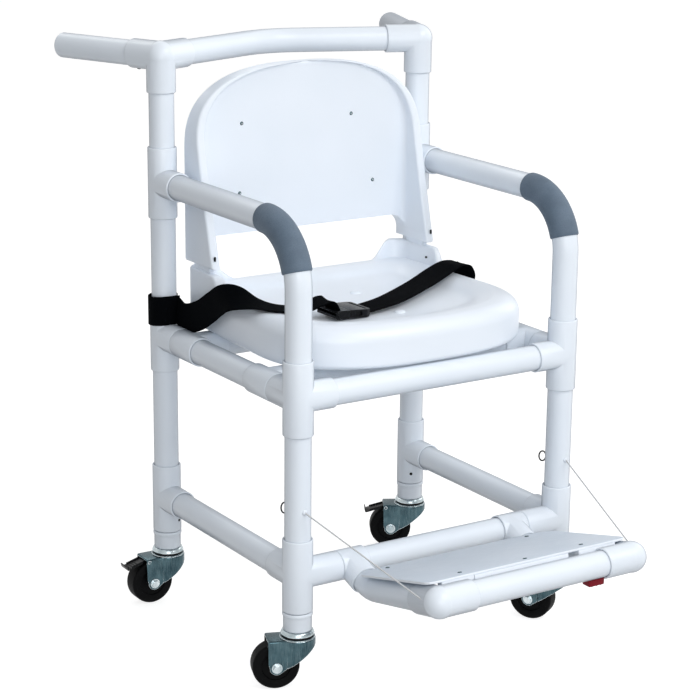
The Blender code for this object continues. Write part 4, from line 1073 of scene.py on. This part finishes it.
def rim_profiles():
    """(inset, height) points of the plain rounded rim and of the thin ear, point for point."""
    plain = [Vector((b, SEAT_TOP_Z - a)) for a, b in quarter(SEAT_ROUND, 16)]
    plain += [Vector((SEAT_ROUND * (1 + 0.125 * step), SEAT_TOP_Z)) for step in range(1, 5)]
    soft = EAR_WIDTH / 4
    corners = [(0.0, EAR_TOP_Z - soft), (soft * 0.3, EAR_TOP_Z - soft * 0.3), (soft, EAR_TOP_Z),
               (EAR_WIDTH - soft, EAR_TOP_Z), (EAR_WIDTH - soft * 0.2, EAR_TOP_Z - soft),
               (EAR_WIDTH + soft, SEAT_TOP_Z)]
    return plain, catmull([Vector(corner) for corner in corners], 4)


def seat():
    outline = seat_outline()
    soft = SEAT_ROUND / 3
    wall = SEAT_TOP_Z - SEAT_ROUND - SEAT_Z - soft
    rings = [seat_ring(SEAT_UNDERSIDE, SEAT_Z, outline)]
    rings += [seat_ring(a, SEAT_Z + b, outline) for a, b in quarter(soft, 8)]
    rings += [seat_ring(0.0, SEAT_Z + soft + wall * (step / 5), outline) for step in range(1, 5)]
    for low, high in zip(*rim_profiles()):
        a = seat_ring(*low, outline)
        b = seat_ring(*high, outline)
        rings.append([p.lerp(q, ear_share(x, y)) for (x, y), p, q in zip(outline, a, b)])
    dish = catmull([Vector((SEAT_ROUND * inset, SEAT_DISH * drop))
                    for inset, drop in ((1.5, 0), (2.25, 0.35), (3, 0.88), (3.9, 1))], 8)
    for inset, drop in dish[1:]:
        rings.append(seat_ring(inset, SEAT_TOP_Z - min(drop, SEAT_DISH), outline))
    flat_start = SEAT_ROUND * 3.9
    flat_run = SEAT_HALF_Y * 0.985 - flat_start
    rings += [seat_ring(flat_start + flat_run * step / 26, SEAT_TOP_Z - SEAT_DISH, outline)
              for step in range(1, 27)]
    form("seat", [(lofted(rings, 60), CHAIR)], "white_moulded")
    dome = revolve(STUD_PROFILE, 40)
    piece("seat_studs", [(dome, CHAIR @ shift(x, y, SEAT_TOP_Z - SEAT_DISH))
                         for x, y in SEAT_STUDS], "white_moulded")
    x, y, z = EAR_PLUG
    plugs = [(drum(0.0019, -0.002, 0.0002, 20), CHAIR @ aim((-side, -0.25, 0.1), (side * x, y, z)))
             for side in SIDES]
    piece("seat_ear_plugs", plugs, "black_plastic")


# Backrest


def wing_depth(share):
    """How far a wing reaches in front of the back face, at a share of the height."""
    return WING_TOP_DEPTH + (WING_FOOT_DEPTH - WING_TOP_DEPTH) * (1 - share) ** WING_POWER


def back_section(half, z, share, thin):
    """One level section of the backrest: a U with its wings towards the front."""
    rear = BACK_REAR_Y - thin
    front = BACK_FRONT_Y + thin
    tip = min(BACK_REAR_Y - wing_depth(share) + thin, front - 0.001)
    rim = min(BACK_RIM, half * 0.5)
    soft = min(BACK_ROUND, rim * 0.4)
    inner = min(soft * 2.2, (front - tip) * 0.9)
    right = [(0.0, rear, 0.0), (half, rear, soft * 1.5), (half, tip, soft * 1.3),
             (half - rim, tip, soft * 1.1), (half - rim, front, inner), (0.0, front, 0.0)]
    left = [(-x, y, radius) for x, y, radius in reversed(right[1:-1])]
    return [Vector((x, y, z)) for x, y in rounded_loop(right + left, 6)]


def backrest():
    spring = BACK_TOP_Z - BACK_SHOULDER
    height = BACK_TOP_Z - BACK_FOOT_Z
    rise = BACK_FOOT_Z + BACK_ROUND
    levels = [(BACK_HALF - a, BACK_FOOT_Z + b) for a, b in quarter(BACK_ROUND, 6)[:6]]
    levels += [(BACK_HALF, rise + (spring - rise) * step / 48) for step in range(48)]
    for step in range(57):
        across, along = superellipse(radians(88.5) * step / 56, BACK_HALF, BACK_SHOULDER,
                                     BACK_POWER)
        levels.append((across, spring + along))
    rings = []
    for half, z in levels:
        near = max(0.0, 1 - (BACK_TOP_Z - z) / BACK_ROUND)
        thin = BACK_ROUND * (1 - (1 - min(near, 1.0) ** 2) ** 0.5)
        rings.append(back_section(half, z, (z - BACK_FOOT_Z) / height, thin))
    notch_half = BACK_HALF - BACK_RIM + 0.0003
    arch = [(-notch_half, -height), (notch_half, -height)]
    for centre_x, start in ((notch_half - BACK_NOTCH_R, 0), (BACK_NOTCH_R - notch_half, pi / 2)):
        for step in range(13):
            angle = start + pi / 2 * step / 12
            arch.append((centre_x + BACK_NOTCH_R * cos(angle),
                         BACK_EDGE_Z - BACK_NOTCH_R * (1 - sin(angle))))
    notch = prism(arch, -BACK_REAR_Y - BACK_THICK, 0)
    shell = softened(carved(lofted(rings, 60), [(notch, rotation(pi / 2, "X"))]), 0.0022, 3, 62)
    shell.set_sharp_from_angle(angle=radians(60))
    neck = block((TENON[0], TENON[1], TENON[2] + 0.016))
    neck_z = EAR_TOP_Z - TENON[2] / 2 + 0.0083
    parts = [(neck, CHAIR @ shift(side * TENON_X, TENON_Y, neck_z)) for side in SIDES]
    form("backrest", [(shell, CHAIR), *parts], "white_moulded")
    # Painted shade: a dark inset stands for the shaded inside of each slot.
    x, y, radius = LEG_SLOT_HALF
    slot = prism(rounded_loop(both_sides([(-x, -y, radius), (x, -y, radius)])), -0.001, 0.0002)
    face = BACK_REAR_Y - wing_depth(0.02) + 0.0006
    slots = [(slot, CHAIR @ aim(AHEAD, (side * (BACK_HALF - 0.0065), face, LEG_SLOT_Z)))
             for side in SIDES]
    piece("backrest_leg_slots", slots, "black_plastic")
    heads = [(screw(BACK_SCREW_R), CHAIR @ aim(AHEAD, (x, BACK_FRONT_Y, z)))
             for x, z in BACK_SCREWS]
    piece("backrest_screws", heads, "zinc_plate")


def screw(radius):
    """A small domed head with a socket, along Z."""
    rows = [(0.0, radius * 0.10), (radius * 0.30, radius * 0.10), (radius * 0.36, radius * 0.42)]
    for step in range(6):
        angle = radians(68) * (1 - step / 5)
        rows.append((radius * cos(angle), radius * 0.45 * sin(angle)))
    rows += [(radius, 0.0), (radius, -radius * 0.3), (0.0, -radius * 0.3)]
    return revolve(rows, 24)


# Footrest


def foot_points(side):
    """Pivot, bend and elbow corner of one footrest arm."""
    rise = FOOT_CORNER_Z - BASE_Z
    fall = tan(FOOT_DROP)
    climb = tan(FOOT_SLOPE)
    ahead = (climb * FOOT_REACH - rise) / (fall + climb)
    pivot = Vector((side * FOOT_PIVOT_X, 0, 0))
    bend = Vector((side * FOOT_PIVOT_X, -ahead, -fall * ahead))
    corner = Vector((side * FOOT_CORNER_X, -FOOT_REACH, rise))
    return pivot, bend, corner


def footrest_arms():
    half = FOOT_PIVOT_LENGTH / 2
    for side, mark in MARKS:
        pivot, bend, corner = foot_points(side)
        way = (bend - pivot).normalized()
        back = (bend - corner).normalized()
        path = rounded([pivot + way * FOOT_ARM_START, bend, corner + back * ELBOW_STOP],
                       FOOT_BEND_R)
        tee = joined([(hub(half, half, FOOT_BORE), FOLD @ aim(RIGHTWARD, pivot)),
                      (hub(0, FOOT_BRANCH), FOLD @ aim(way, pivot))])
        pipe(f"footrest_arm_{mark}", path, FOLD)
        piece(f"footrest_arm_{mark}_hub", [(tee, STILL)], "white_fitting", "footrest")


def footrest_bar():
    elbows = []
    for side in SIDES:
        _, bend, corner = foot_points(side)
        elbow = joined([
            (hub(0, ELBOW_REACH), FOLD @ aim((-side, 0, 0), corner)),
            (hub(0, ELBOW_REACH), FOLD @ aim((bend - corner).normalized(), corner)),
            (ball(HUB_R + BALL_SWELL), FOLD @ shift(*corner)),
        ])
        elbows.append((elbow, STILL))
    pipe("footrest_bar", [foot_points(side)[2] for side in SIDES], FOLD)
    piece("footrest_bar_elbows", elbows, "white_fitting", "footrest")


def plate_outline(inset):
    """The board's plan, drawn in by one distance."""
    x = PLATE_HALF - inset
    back = -PLATE_BACK - inset, PLATE_BACK_ROUND - inset
    front = -PLATE_FRONT + inset, PLATE_FRONT_ROUND - inset
    return rounded_loop([(x, *back), (-x, *back), (-x, *front), (x, *front)], 14)


PLATE_LIFT = HUB_R + BALL_SWELL + CLEAR
PLATE_LEVEL = (FOLD @ shift(0, 0, FOOT_CORNER_Z - BASE_Z - FOOT_REACH * tan(FOOT_SLOPE))
               @ rotation(-FOOT_SLOPE, "X") @ shift(0, 0, PLATE_LIFT))


def footrest_plate():
    """The board with its rounded edge, the three shims under its front and its screws."""
    soft = PLATE_EDGE
    rows = [(soft, 0.0), (soft * 0.3, soft * 0.3), (0.0, soft), (0.0, PLATE_THICK - soft),
            (soft * 0.3, PLATE_THICK - soft * 0.3), (soft, PLATE_THICK)]
    rings = [[Vector((x, y, z)) for x, y in plate_outline(inset)] for inset, z in rows]
    form("footrest_plate", [(lofted(rings, 50), PLATE_LEVEL)], "grey_plate")
    parts = []
    for low, high, proud in SHIM_SPANS:
        shim = softened(block((high - low, SHIM_WIDTH, SHIM_DEPTH)), 0.0006)
        middle = (low + high) / 2, SHIM_WIDTH / 2 - PLATE_FRONT - proud, 0.0002 - SHIM_DEPTH / 2
        parts.append((shim, PLATE_LEVEL @ shift(*middle)))
    piece("footrest_shims", parts, "grey_plate", "footrest")
    heads = [(screw(SCREW_R), PLATE_LEVEL @ shift(x, -y, PLATE_THICK)) for x, y in PLATE_SCREWS]
    piece("footrest_screws", heads, "zinc_plate", "footrest")


def footrest_bumper():
    """A small moulded block whose top is hollowed to the bar's round, with ribs under it."""
    length, width, height = BUMPER_SIZE
    x = FOOT_CORNER_X - ELBOW_REACH - CLEAR - length / 2
    drop = PIPE_R + height / 2 - BUMPER_SEAT
    corner = foot_points(1)[2]
    tool = bar(between((-length, 0, drop), (length, 0, drop)), PIPE_R + CLEAR)
    mesh = carved(softened(block(BUMPER_SIZE), height / 6, 4), [(tool, STILL)])
    rib = softened(block((0.0022, width * 0.9, 0.0016)), 0.0006)
    place = FOLD @ shift(x, corner.y, corner.z - drop)
    ribs = [(rib, place @ shift(step * 0.0085, 0, -height / 2 + 0.0004)) for step in (-1, 0, 1)]
    form("footrest_bumper", [(mesh, place), *ribs], "dark_red")


def cord_ends(side):
    """Where a cord leaves its post and where it meets the footrest."""
    outer, behind, above = CORD_END
    head = Vector((side * POST_X, -POST_Y - PIPE_R - CORD_R, CORD_Z))
    foot = Vector((side * outer, behind - POST_Y - FOOT_REACH, above + FOOT_CORNER_Z))
    return head, foot


def footrest_cords():
    """The cords, each with its knot, bushing and wire eye at the post that it passes through."""
    for side, mark in MARKS:
        head, foot = cord_ends(side)
        back = Vector((side * POST_X, PIPE_R - POST_Y, CORD_Z))
        tail = Vector((side * POST_X, -POST_Y + PIPE_R + CORD_TAIL - 0.001, CORD_Z))
        bends = rounded([tail, head, foot], CORD_R * 3, 8)
        lead = [bends[0].lerp(bends[1], step / 10) for step in range(10)]
        straight = [bends[-2].lerp(bends[-1], step / 60) for step in range(1, 61)]
        path = lead + bends[1:-1] + straight
        cord = added(f"footrest_cord_{mark}_form", merged([(bar(path, CORD_R, 16), CHAIR)]))
        cord.data.materials.append(MATERIALS["cord"])
        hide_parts(f"footrest_cord_{mark}")
        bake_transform(cord)
        knot = CHAIR @ shift(*(back + Vector((0, 0.0012, 0))))
        piece(f"footrest_cord_knot_{mark}", [(ball(KNOT_R, 24), knot)], "cord")
        bush = CHAIR @ shift(*(head + Vector((0, CORD_R, 0)))) @ Matrix.Diagonal((1, 0.5, 1, 1))
        piece(f"footrest_cord_bush_{mark}", [(ball(BUSH_R, 28), bush)], "white_fitting")
        piece(f"footrest_cord_eye_{mark}", [(eye_mesh(), CHAIR @ shift(*back))], "black_plastic")


def eye_mesh():
    """A wire eye behind the post: a stem that runs down into an oval loop."""
    path = [Vector((0, -0.004, 0)), Vector((0, 0.004, -0.0005)), Vector((0, 0.0082, -0.0055))]
    for step in range(29):
        angle = radians(200 + 330 * step / 28)
        path.append(Vector((0.0020 * sin(angle), 0.0200 + 0.0088 * cos(angle),
                            0.0078 * sin(angle) - 0.0100)))
    return bar(catmull(path, 4), EYE_WIRE, 12)


# Lap belt


def post_wrap(side):
    """The strap's turn round its rear post, from the inner side round the back to the front."""
    radius = HUB_R + CLEAR + STRAP_THICK
    middles = []
    for step in range(61):
        share = step / 60
        angle = WRAP_START + WRAP_TURN * share
        lift = WRAP_LIFT * smoothstep((share - 0.5) * 2.4)
        x = side * (POST_X - radius * cos(angle))
        middles.append(Vector((x, POST_Y + radius * sin(angle), BELT_Z + lift)))
    return middles, [UP] * len(middles)


def buckle_turn():
    return rotation(BUCKLE_TURN, "Z") @ rotation(BUCKLE_TILT, "Y")


def buckle_place(along):
    """A point on the buckle's middle line, at a distance along it from the socket's middle."""
    height = SEAT_TOP_Z - SEAT_DISH + BUCKLE_LIFT + BUCKLE_THICK / 2
    return Vector((*BUCKLE_CENTRE, height)) + buckle_turn() @ Vector((along, 0, 0))


def strap_mesh(middles, edges):
    """A flat woven strap with rounded selvedges. Its flat coordinates run along and across it."""
    half = STRAP_WIDTH / 2
    thin = STRAP_THICK / 2
    face = [half * SELVEDGE * (1 - step / 4) for step in range(9)]
    section = [*((x, thin) for x in face), (-half, 0.0), *((-x, -thin) for x in face), (half, 0.0)]
    steps = [(b - a).length for a, b in zip(middles, middles[1:])]
    runs = list(accumulate(steps, initial=0.0))
    rings = []
    for middle, edge, way in zip(middles, edges, headings(middles)):
        lean = (edge - way * edge.dot(way)).normalized()
        out = way.cross(lean)
        rings.append([middle + lean * across + out * rise for across, rise in section])
    mesh = lofted(rings, 50)
    flat = mesh.uv_layers.new(name="flat").data
    for loop in mesh.loops:
        row, place = divmod(loop.vertex_index, len(section))
        flat[loop.index].uv = (runs[row], section[place][0])
    return mesh


def belts():
    reach = SOCKET_LENGTH / 2
    face = -TONGUE_LENGTH - reach
    across = Vector((-sin(BUCKLE_TURN), cos(BUCKLE_TURN), 0))
    for side, mark, route in ((-1, "left", LEFT_STRAP), (1, "right", RIGHT_STRAP[::-1])):
        middles, edges = post_wrap(side)
        if side < 0:
            entry = buckle_place(face + 0.0080) + Vector((0, 0, BUCKLE_THICK / 2 + 0.0005))
            end = buckle_place(face + 0.0090)
        else:
            entry = buckle_place(reach + STRAP_ENTRY)
            end = buckle_place(reach - STRAP_ENTRY)
        way = [Vector(point) for point, _ in route]
        lean = [Vector(edge).normalized() for _, edge in route]
        line = catmull([middles[-1], *way, entry], 14)[1:]
        leans = catmull([edges[-1], *lean, across], 14)[1:]
        mesh = strap_mesh(middles + line + [end], edges + leans + [across])
        mesh.transform(CHAIR)
        strap = added(f"belt_{mark}_form", mesh)
        strap.data.materials.append(MATERIALS["black_webbing"])
        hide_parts(f"belt_{mark}")
        if side < 0:
            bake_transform(strap)
        else:
            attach(strap, "chair")


def buckle():
    """A side-release buckle: the socket with its windows, and the tongue with its prongs."""
    half = SOCKET_LENGTH / 2
    reach = TONGUE_LENGTH / 2
    edge = BUCKLE_WIDTH / 2
    thick = BUCKLE_THICK / 2
    place, base = (CHAIR @ shift(*buckle_place(along)) @ buckle_turn()
                   for along in (0, -half - reach - CLEAR))
    body = prism(rounded_loop(both_sides([
        (-half, 0.0015 - edge, 0.002), (half * 0.55, -edge, 0.010), (half, 0.0035 - edge, 0.004),
    ])), -thick, thick)
    notch = block(BUCKLE_NOTCH)
    body = carved(body, [
        (block((0.0520, BUCKLE_WIDTH * 0.8, PRONG_THICK + 0.0008)), shift(-half, 0, 0)),
        (block((half, *BUCKLE_SLOT)), shift(half, 0, 0)),
        (notch, shift(-half + 0.0160, -edge, 0)), (notch, shift(-half + 0.0160, edge, 0)),
        (block((0.0040, STRAP_WIDTH * 0.96, BUCKLE_THICK)), shift(half - 0.0075, 0, 0.0085)),
    ])
    pad = softened(block((0.0170, BUCKLE_WIDTH * 0.52, 0.0016)), 0.0007)
    form("buckle_socket", [(softened(body, BUCKLE_EDGE, 3, 40), place),
                           (pad, place @ shift(-0.0035, 0, thick - 0.0010))], "black_plastic")
    tongue = prism(rounded_loop(both_sides([
        (-reach, -edge, 0.0035), (reach, 0.001 - edge, 0.002),
    ])), -thick, thick)
    tongue = carved(tongue, [
        (block((TONGUE_LENGTH, *BUCKLE_SLOT)), shift(-TONGUE_LENGTH * 0.7, 0, 0)),
        (block((0.0050, STRAP_WIDTH * 0.96, BUCKLE_THICK)), shift(-reach + 0.0095, 0, 0.0085)),
    ])
    width = BUCKLE_WIDTH / 8
    prong = softened(block((PRONG_LENGTH + TONGUE_LENGTH / 4, width, PRONG_THICK)), 0.0009)
    along = reach + PRONG_LENGTH / 2 + CLEAR - TONGUE_LENGTH / 8
    prongs = [(prong, base @ shift(along, across * (BUCKLE_WIDTH * 0.4 - width), 0))
              for across in (-1, 0, 1)]
    form("buckle_tongue", [(softened(tongue, BUCKLE_EDGE, 3, 40), base), *prongs], "black_plastic")


# Casters, in a frame with Z down the post's middle and +X where the wheel trails


def caster_stem(name, foot):
    race = SLEEVE_FOOT_Z - CLEAR
    low = FORK_TOP_Z + CLEAR
    nut_z = FORK_TOP_Z - FORK_SHEET - CLEAR
    end = nut_z - KING_NUT
    rows = [
        (0.0, race + STEM_RISE), (STEM_R, race + STEM_RISE), (STEM_R, race),
        *around(HUB_R, race, ((-0.0006, 0), (0.0004, -0.0005), (0.0012, -0.0018))),
        *around(RACE_R, race, ((-0.0002, -0.0046), (0.0002, -0.0056), (0, -0.0066),
                               (-0.0012, -0.0072), (-0.0030, -0.0074), (-0.0042, -0.0080))),
        (RACE_R - 0.0046, low + 0.0008), (RACE_R - 0.0060, low),
        (KINGPIN_R, low), (KINGPIN_R, low - 0.0022), (0.0, low - 0.0022),
    ]
    nut = softened(drum(KING_NUT_R, -KING_NUT, 0.0, 6, 20), 0.0005)
    pin_end = revolve([(0.0, end - 0.002), (0.0035, end - 0.002), (0.0040, end), (0.0040, nut_z),
                       (0.0, nut_z)], 24)
    parts = [(revolve(rows), foot), (nut, foot @ shift(0, 0, nut_z)), (pin_end, foot)]
    form(f"caster_stem_{name}", parts, "zinc_turned")


def fork_side():
    """The fork's side view: its crown, then the slanted edge round the axle's boss to its tail."""
    skirt_z = FORK_TOP_Z - CROWN_DEPTH
    along = CROWN_R + TRAIL
    rise = skirt_z - WHEEL_R
    first = atan2(rise, -along) + acos(AXLE_BOSS_R / hypot(along, rise))
    angles = [first + (tau - first) * step / 18 for step in range(19)]
    boss = [(TRAIL + AXLE_BOSS_R * cos(angle), WHEEL_R + AXLE_BOSS_R * sin(angle))
            for angle in angles]
    return [(-CROWN_R, FORK_TOP_Z + 0.001), (-CROWN_R, skirt_z), *boss,
            (FORK_TAIL + 0.001, WHEEL_R + AXLE_BOSS_R * 1.05),
            (FORK_TAIL + 0.001, FORK_TOP_Z + 0.001)]


def fork_plan(inset):
    """The fork's plan: a round crown run out to a straight tail."""
    radius = CROWN_R - inset
    half = FORK_INNER / 2 + FORK_SHEET - inset
    first = asin(half / radius)
    tail = FORK_TAIL + 2 * inset
    angles = [first + (tau - 2 * first) * step / 40 for step in range(41)]
    return [(tail, -half), (tail, half), *((radius * cos(a), radius * sin(a)) for a in angles)]


def caster_fork(name, swivel, with_brake):
    """Pressed fork with a rounded crown, a raised ring under the race and slanted side plates."""
    low = WHEEL_R - AXLE_BOSS_R - FORK_SHEET
    side = prism(fork_side(), -2 * CROWN_R, 2 * CROWN_R)
    shell = softened(prism(fork_plan(0), low, FORK_TOP_Z), 0.0028, 5, 60)
    shell = carved(shell, [(side, rotation(pi / 2, "X"))], "INTERSECT")
    inside = prism(fork_plan(FORK_SHEET), low - 0.01, FORK_TOP_Z - FORK_SHEET)
    shell = carved(shell, [(softened(inside, 0.0012, 3, 60), STILL),
                           (drum(AXLE_R, -0.05, 0.05), aim(BEHIND, (TRAIL, 0, WHEEL_R)))])
    shell.set_sharp_from_angle(angle=radians(40))
    lip = revolve(around(RACE_R, FORK_TOP_Z, (
        (-0.0022, -0.0006), (-0.0016, 0.0009), (-0.0004, 0.0014), (0.0008, 0.0007),
        (0.0010, -0.0012), (-0.0022, -0.0006),
    )))
    parts = [(shell, swivel), (lip, swivel)]
    if with_brake:
        pin = revolve([(0.0, 0.0222), (0.0024, 0.0222), (0.0027, 0.0212), (0.0027, -0.0212),
                       (0.0024, -0.0222), (0.0, -0.0222)], 24)
        parts.append((pin, swivel @ aim(BEHIND, PEDAL_PIN)))
    form(f"caster_fork_{name}", parts, "zinc_plate")
    seal = revolve(around(RACE_R, FORK_TOP_Z, (
        (-0.0052, -0.0002), (-0.0052, 0.0036), (-0.0026, 0.0040), (-0.0020, 0.0012),
        (-0.0020, -0.0002), (-0.0052, -0.0002),
    )))
    piece(f"caster_seal_{name}", [(seal, swivel)], "black_plastic", f"fork_{name}")


def caster_wheel(name, axle):
    half = WHEEL_WIDTH / 2
    hub_half = WHEEL_HUB_WIDTH / 2
    bore = AXLE_R + CLEAR
    upper = [
        (bore, hub_half), (0.0088, hub_half), (0.0094, hub_half - 0.0006),
        *around(0.0, half, ((0.0096, -0.0012), (0.0110, -0.0026), (0.0200, -0.0030),
                            (0.0222, -0.0026), (0.0232, -0.0008), (0.0245, -0.0002),
                            (0.0255, -0.0006), (0.0262, -0.0001))),
        *((WHEEL_R - a, half - b) for a, b in quarter(WHEEL_ROUND, 8)),
    ]
    lower = [(radius, -height) for radius, height in reversed(upper)]
    wheel = revolve([*upper, *lower, upper[0]], 96, 30)
    form(f"caster_wheel_{name}", [(wheel, axle)], "black_tread")


def caster_axle(name, axle):
    """A bolt with a washer and a hexagon on each side, and its end out of the nut."""
    outer = FORK_INNER / 2 + FORK_SHEET + CLEAR
    other = axle @ rotation(pi, "X")
    washer = revolve(around(0.0, outer, ((0, 0.0009), (0.0084, 0.0009), (0.0086, 0.0006),
                                         (0.0086, 0), (0, 0))), 40)
    head = softened(revolve(around(0.0, outer, (
        (0, 0.0048), (0.0060, 0.0048), (0.0068, 0.0042), (0.0068, 0.0008), (0, 0.0008),
    )), 6, 20), 0.0003)
    nut_end = revolve(around(0.0, outer, ((0, 0.0058), (0.0030, 0.0058), (0.0037, 0.0052),
                                          (0.0037, 0), (0, 0))), 24)
    shaft = drum(AXLE_R, -outer - 0.001, outer + 0.001, 32)
    form(f"caster_axle_{name}", [(washer, axle), (washer, other), (head, axle), (head, other),
                                 (nut_end, other), (shaft, axle)], "zinc_turned")


def brake_pedal(name, swivel):
    """A ribbed lever with an upturned lip, on a cross pin under the fork's tail."""
    place = swivel @ shift(*PEDAL_PIN) @ rotation(PEDAL_SLOPE, "Y")
    half = FORK_INNER / 2 + FORK_SHEET / 2
    wide = PEDAL_WIDTH / 2
    sheet = prism(rounded_loop(both_sides([
        (0.0, -wide * 0.72, 0.001), (0.010, -wide, 0.004), (PEDAL_LENGTH, -wide, 0.003),
    ])), -PEDAL_THICK / 2, PEDAL_THICK / 2)
    lip = softened(block((PEDAL_THICK, PEDAL_WIDTH + PEDAL_THICK, PEDAL_LIP)), 0.0009)
    rib = softened(block((0.0018, PEDAL_WIDTH * 0.8, 0.0016)), 0.0006)
    side_rib = softened(block((PEDAL_LENGTH * 0.7, 0.0018, 0.0044)), 0.0007)
    parts = [(drum(PEDAL_PIN_R, -half, half), place @ aim(BEHIND)),
             (softened(sheet, 0.0007), place),
             (lip, place @ shift(PEDAL_LENGTH, 0, PEDAL_LIP / 2 - PEDAL_THICK / 4))]
    parts += [(rib, place @ shift(0.018 + 0.005 * step, 0, PEDAL_THICK / 2 + 0.0002))
              for step in range(4)]
    parts += [(side_rib, place @ shift(PEDAL_LENGTH * 0.45, side * (wide - 0.0020), 0.0014))
              for side in SIDES]
    form(f"brake_pedal_{name}", parts, "black_plastic")


def casters():
    for name, turn in CASTER_TURN.items():
        side = 1 if name.endswith("right") else -1
        rear = name.startswith("rear")
        foot = CHAIR @ shift(side * POST_X, POST_Y if rear else -POST_Y, 0)
        swivel = foot @ rotation(turn, "Z")
        axle = swivel @ aim(BEHIND, (TRAIL, 0, WHEEL_R))
        caster_stem(name, foot)
        caster_fork(name, swivel, rear)
        caster_wheel(name, axle)
        caster_axle(name, axle)
        if rear:
            brake_pedal(name, swivel)


def frame_screws():
    """Small dark screws that pin the handles and the rear posts in their sockets."""
    heads = []
    for side in SIDES:
        _, rearward = top_directions(side)
        spot = Vector((side * POST_X, POST_Y, TOP_Z - HUB_R)) + rearward * (TEE_REACH - 0.012)
        heads.append((screw(SCREW_R), CHAIR @ aim(DOWN, spot)))
        spot = (Vector((side * POST_X, POST_Y, POST_SCREW_Z))
                + Vector((-side * 0.5, -0.866, 0)) * HUB_R)
        heads.append((screw(POST_SCREW_R), CHAIR @ aim((-side * 0.5, -0.87, 0), spot)))
    piece("frame_screws", heads, "black_plastic")


tees()
push_handles()
armrests()
straight_pipes()
push_bar()
seat_supports()
seat()
backrest()
footrest_arms()
footrest_bar()
footrest_plate()
footrest_bumper()
footrest_cords()
belts()
buckle()
casters()
frame_screws()


# Floor, light and camera

FLOOR_HALF = 12.0
FILL = 0.58
FILL_LEFT = 0.34
PICTURE = 700
SENSOR = 36.0
FOCAL_PIXELS = 2125.69
CENTRE_PIXELS = (8.52, 25.90)
CAMERA_AT = (-1.8796, -2.878 + MIDDLE_Y, 1.4005)
CAMERA_TURN = (radians(32.62), radians(15.95), radians(0.54))


def floor_material():
    """Pale floor: white to the camera and in reflections, and dim to everything else."""
    look = Look("floor")
    look.set("Base Color", (0.40, 0.40, 0.40))
    look.set("Roughness", 0.9)
    look.set("Specular IOR Level", 0.1)
    rays = look.tree.nodes.new("ShaderNodeLightPath").outputs
    seen = look.math("MAXIMUM", rays["Is Camera Ray"], rays["Is Glossy Ray"])
    glow = look.add("Emission", 0, {"Color": (1, 1, 1), "Strength": 0.80})
    bare = look.shader.outputs["BSDF"]
    both = look.add("AddShader", 0, {0: bare, 1: glow})
    choice = look.add("MixShader", 0, {0: seen, 1: bare, 2: both})
    look.feed(look.tree.nodes["Material Output"].inputs["Surface"], choice)
    return look.owner


def floor():
    mesh = bpy.data.meshes.new("floor")
    corners = [(x * FLOOR_HALF, y * FLOOR_HALF, 0) for x, y in ((-1, -1), (1, -1), (1, 1), (-1, 1))]
    mesh.from_pydata(corners, [], [(0, 1, 2, 3)])
    obj = added("floor", mesh)
    obj.data.materials.append(floor_material())
    obj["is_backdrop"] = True


def world():
    """White to the camera and in reflections, and a dim even light otherwise."""
    sky = Nodes(bpy.data.worlds.new("studio"))
    back = sky.tree.nodes["Background"].inputs
    sky.feed(back["Color"], (1, 1, 1))
    rays = sky.tree.nodes.new("ShaderNodeLightPath").outputs
    seen = sky.math("MAXIMUM", rays["Is Camera Ray"], rays["Is Transmission Ray"])
    shine = sky.math("MAXIMUM", seen, sky.math("MULTIPLY", rays["Is Glossy Ray"], 0.85))
    way = sky.add("SeparateXYZ", "X", {"Vector": sky.coords["Generated"]})
    even = sky.ramp(way, -0.9, 0.3, FILL_LEFT, FILL)
    sky.feed(back["Strength"], sky.math("MAXIMUM", shine, even))
    bpy.context.scene.world = sky.owner


def lamp(name, place, target, size, power, colour):
    data = bpy.data.lights.new(name, "AREA")
    data.shape = "RECTANGLE"
    data.size, data.size_y = size
    data.energy = power
    data.color = colour
    obj = added(name, data)
    way = Vector(target) - Vector(place)
    obj.matrix_world = Matrix.Translation(place) @ way.to_track_quat("-Z", "Y").to_matrix().to_4x4()


def lights():
    lamp("key", (0.8, -2.7, 3.3), (0, 0, 0.5), (2.2, 1.8), 68, (1.0, 0.99, 0.98))
    lamp("side", (3.4, 0.2, 2.0), (0, 0, 0.5), (2.2, 2.2), 24, (0.96, 0.98, 1.0))
    lamp("left", (-1.7, -3.5, 1.4), (0, 0, 0.5), (1.8, 2.0), 46, (0.96, 0.98, 1.0))
    lamp("back", (0.3, 3.0, 3.0), (0, 0, 0.7), (2.4, 1.6), 22, (1.0, 1.0, 1.0))


def camera():
    """The photograph's view."""
    yaw, pitch, roll = CAMERA_TURN
    ahead = Vector((sin(yaw) * cos(pitch), cos(yaw) * cos(pitch), -sin(pitch)))
    level = Vector((cos(yaw), -sin(yaw), 0))
    high = level.cross(ahead)
    right = level * cos(roll) + high * sin(roll)
    over = high * cos(roll) - level * sin(roll)
    place = Matrix((right, over, -ahead)).transposed().to_4x4()
    place.translation = CAMERA_AT
    data = bpy.data.cameras.new("camera")
    data.sensor_width = SENSOR
    data.lens = FOCAL_PIXELS / PICTURE * SENSOR
    data.shift_x, data.shift_y = (pixels / PICTURE for pixels in CENTRE_PIXELS)
    data.clip_end = 60
    obj = added("camera", data)
    obj.matrix_world = place
    bpy.context.scene.camera = obj


floor()
world()
lights()
camera()
bpy.context.scene.view_settings.view_transform = "Standard"


def flat(box_corners):
    return [[float(value) for value in corner] for corner in box_corners]


bpy.context.view_layer.update()
{"cad": flat(CAD_BOX), "scene": flat(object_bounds())}
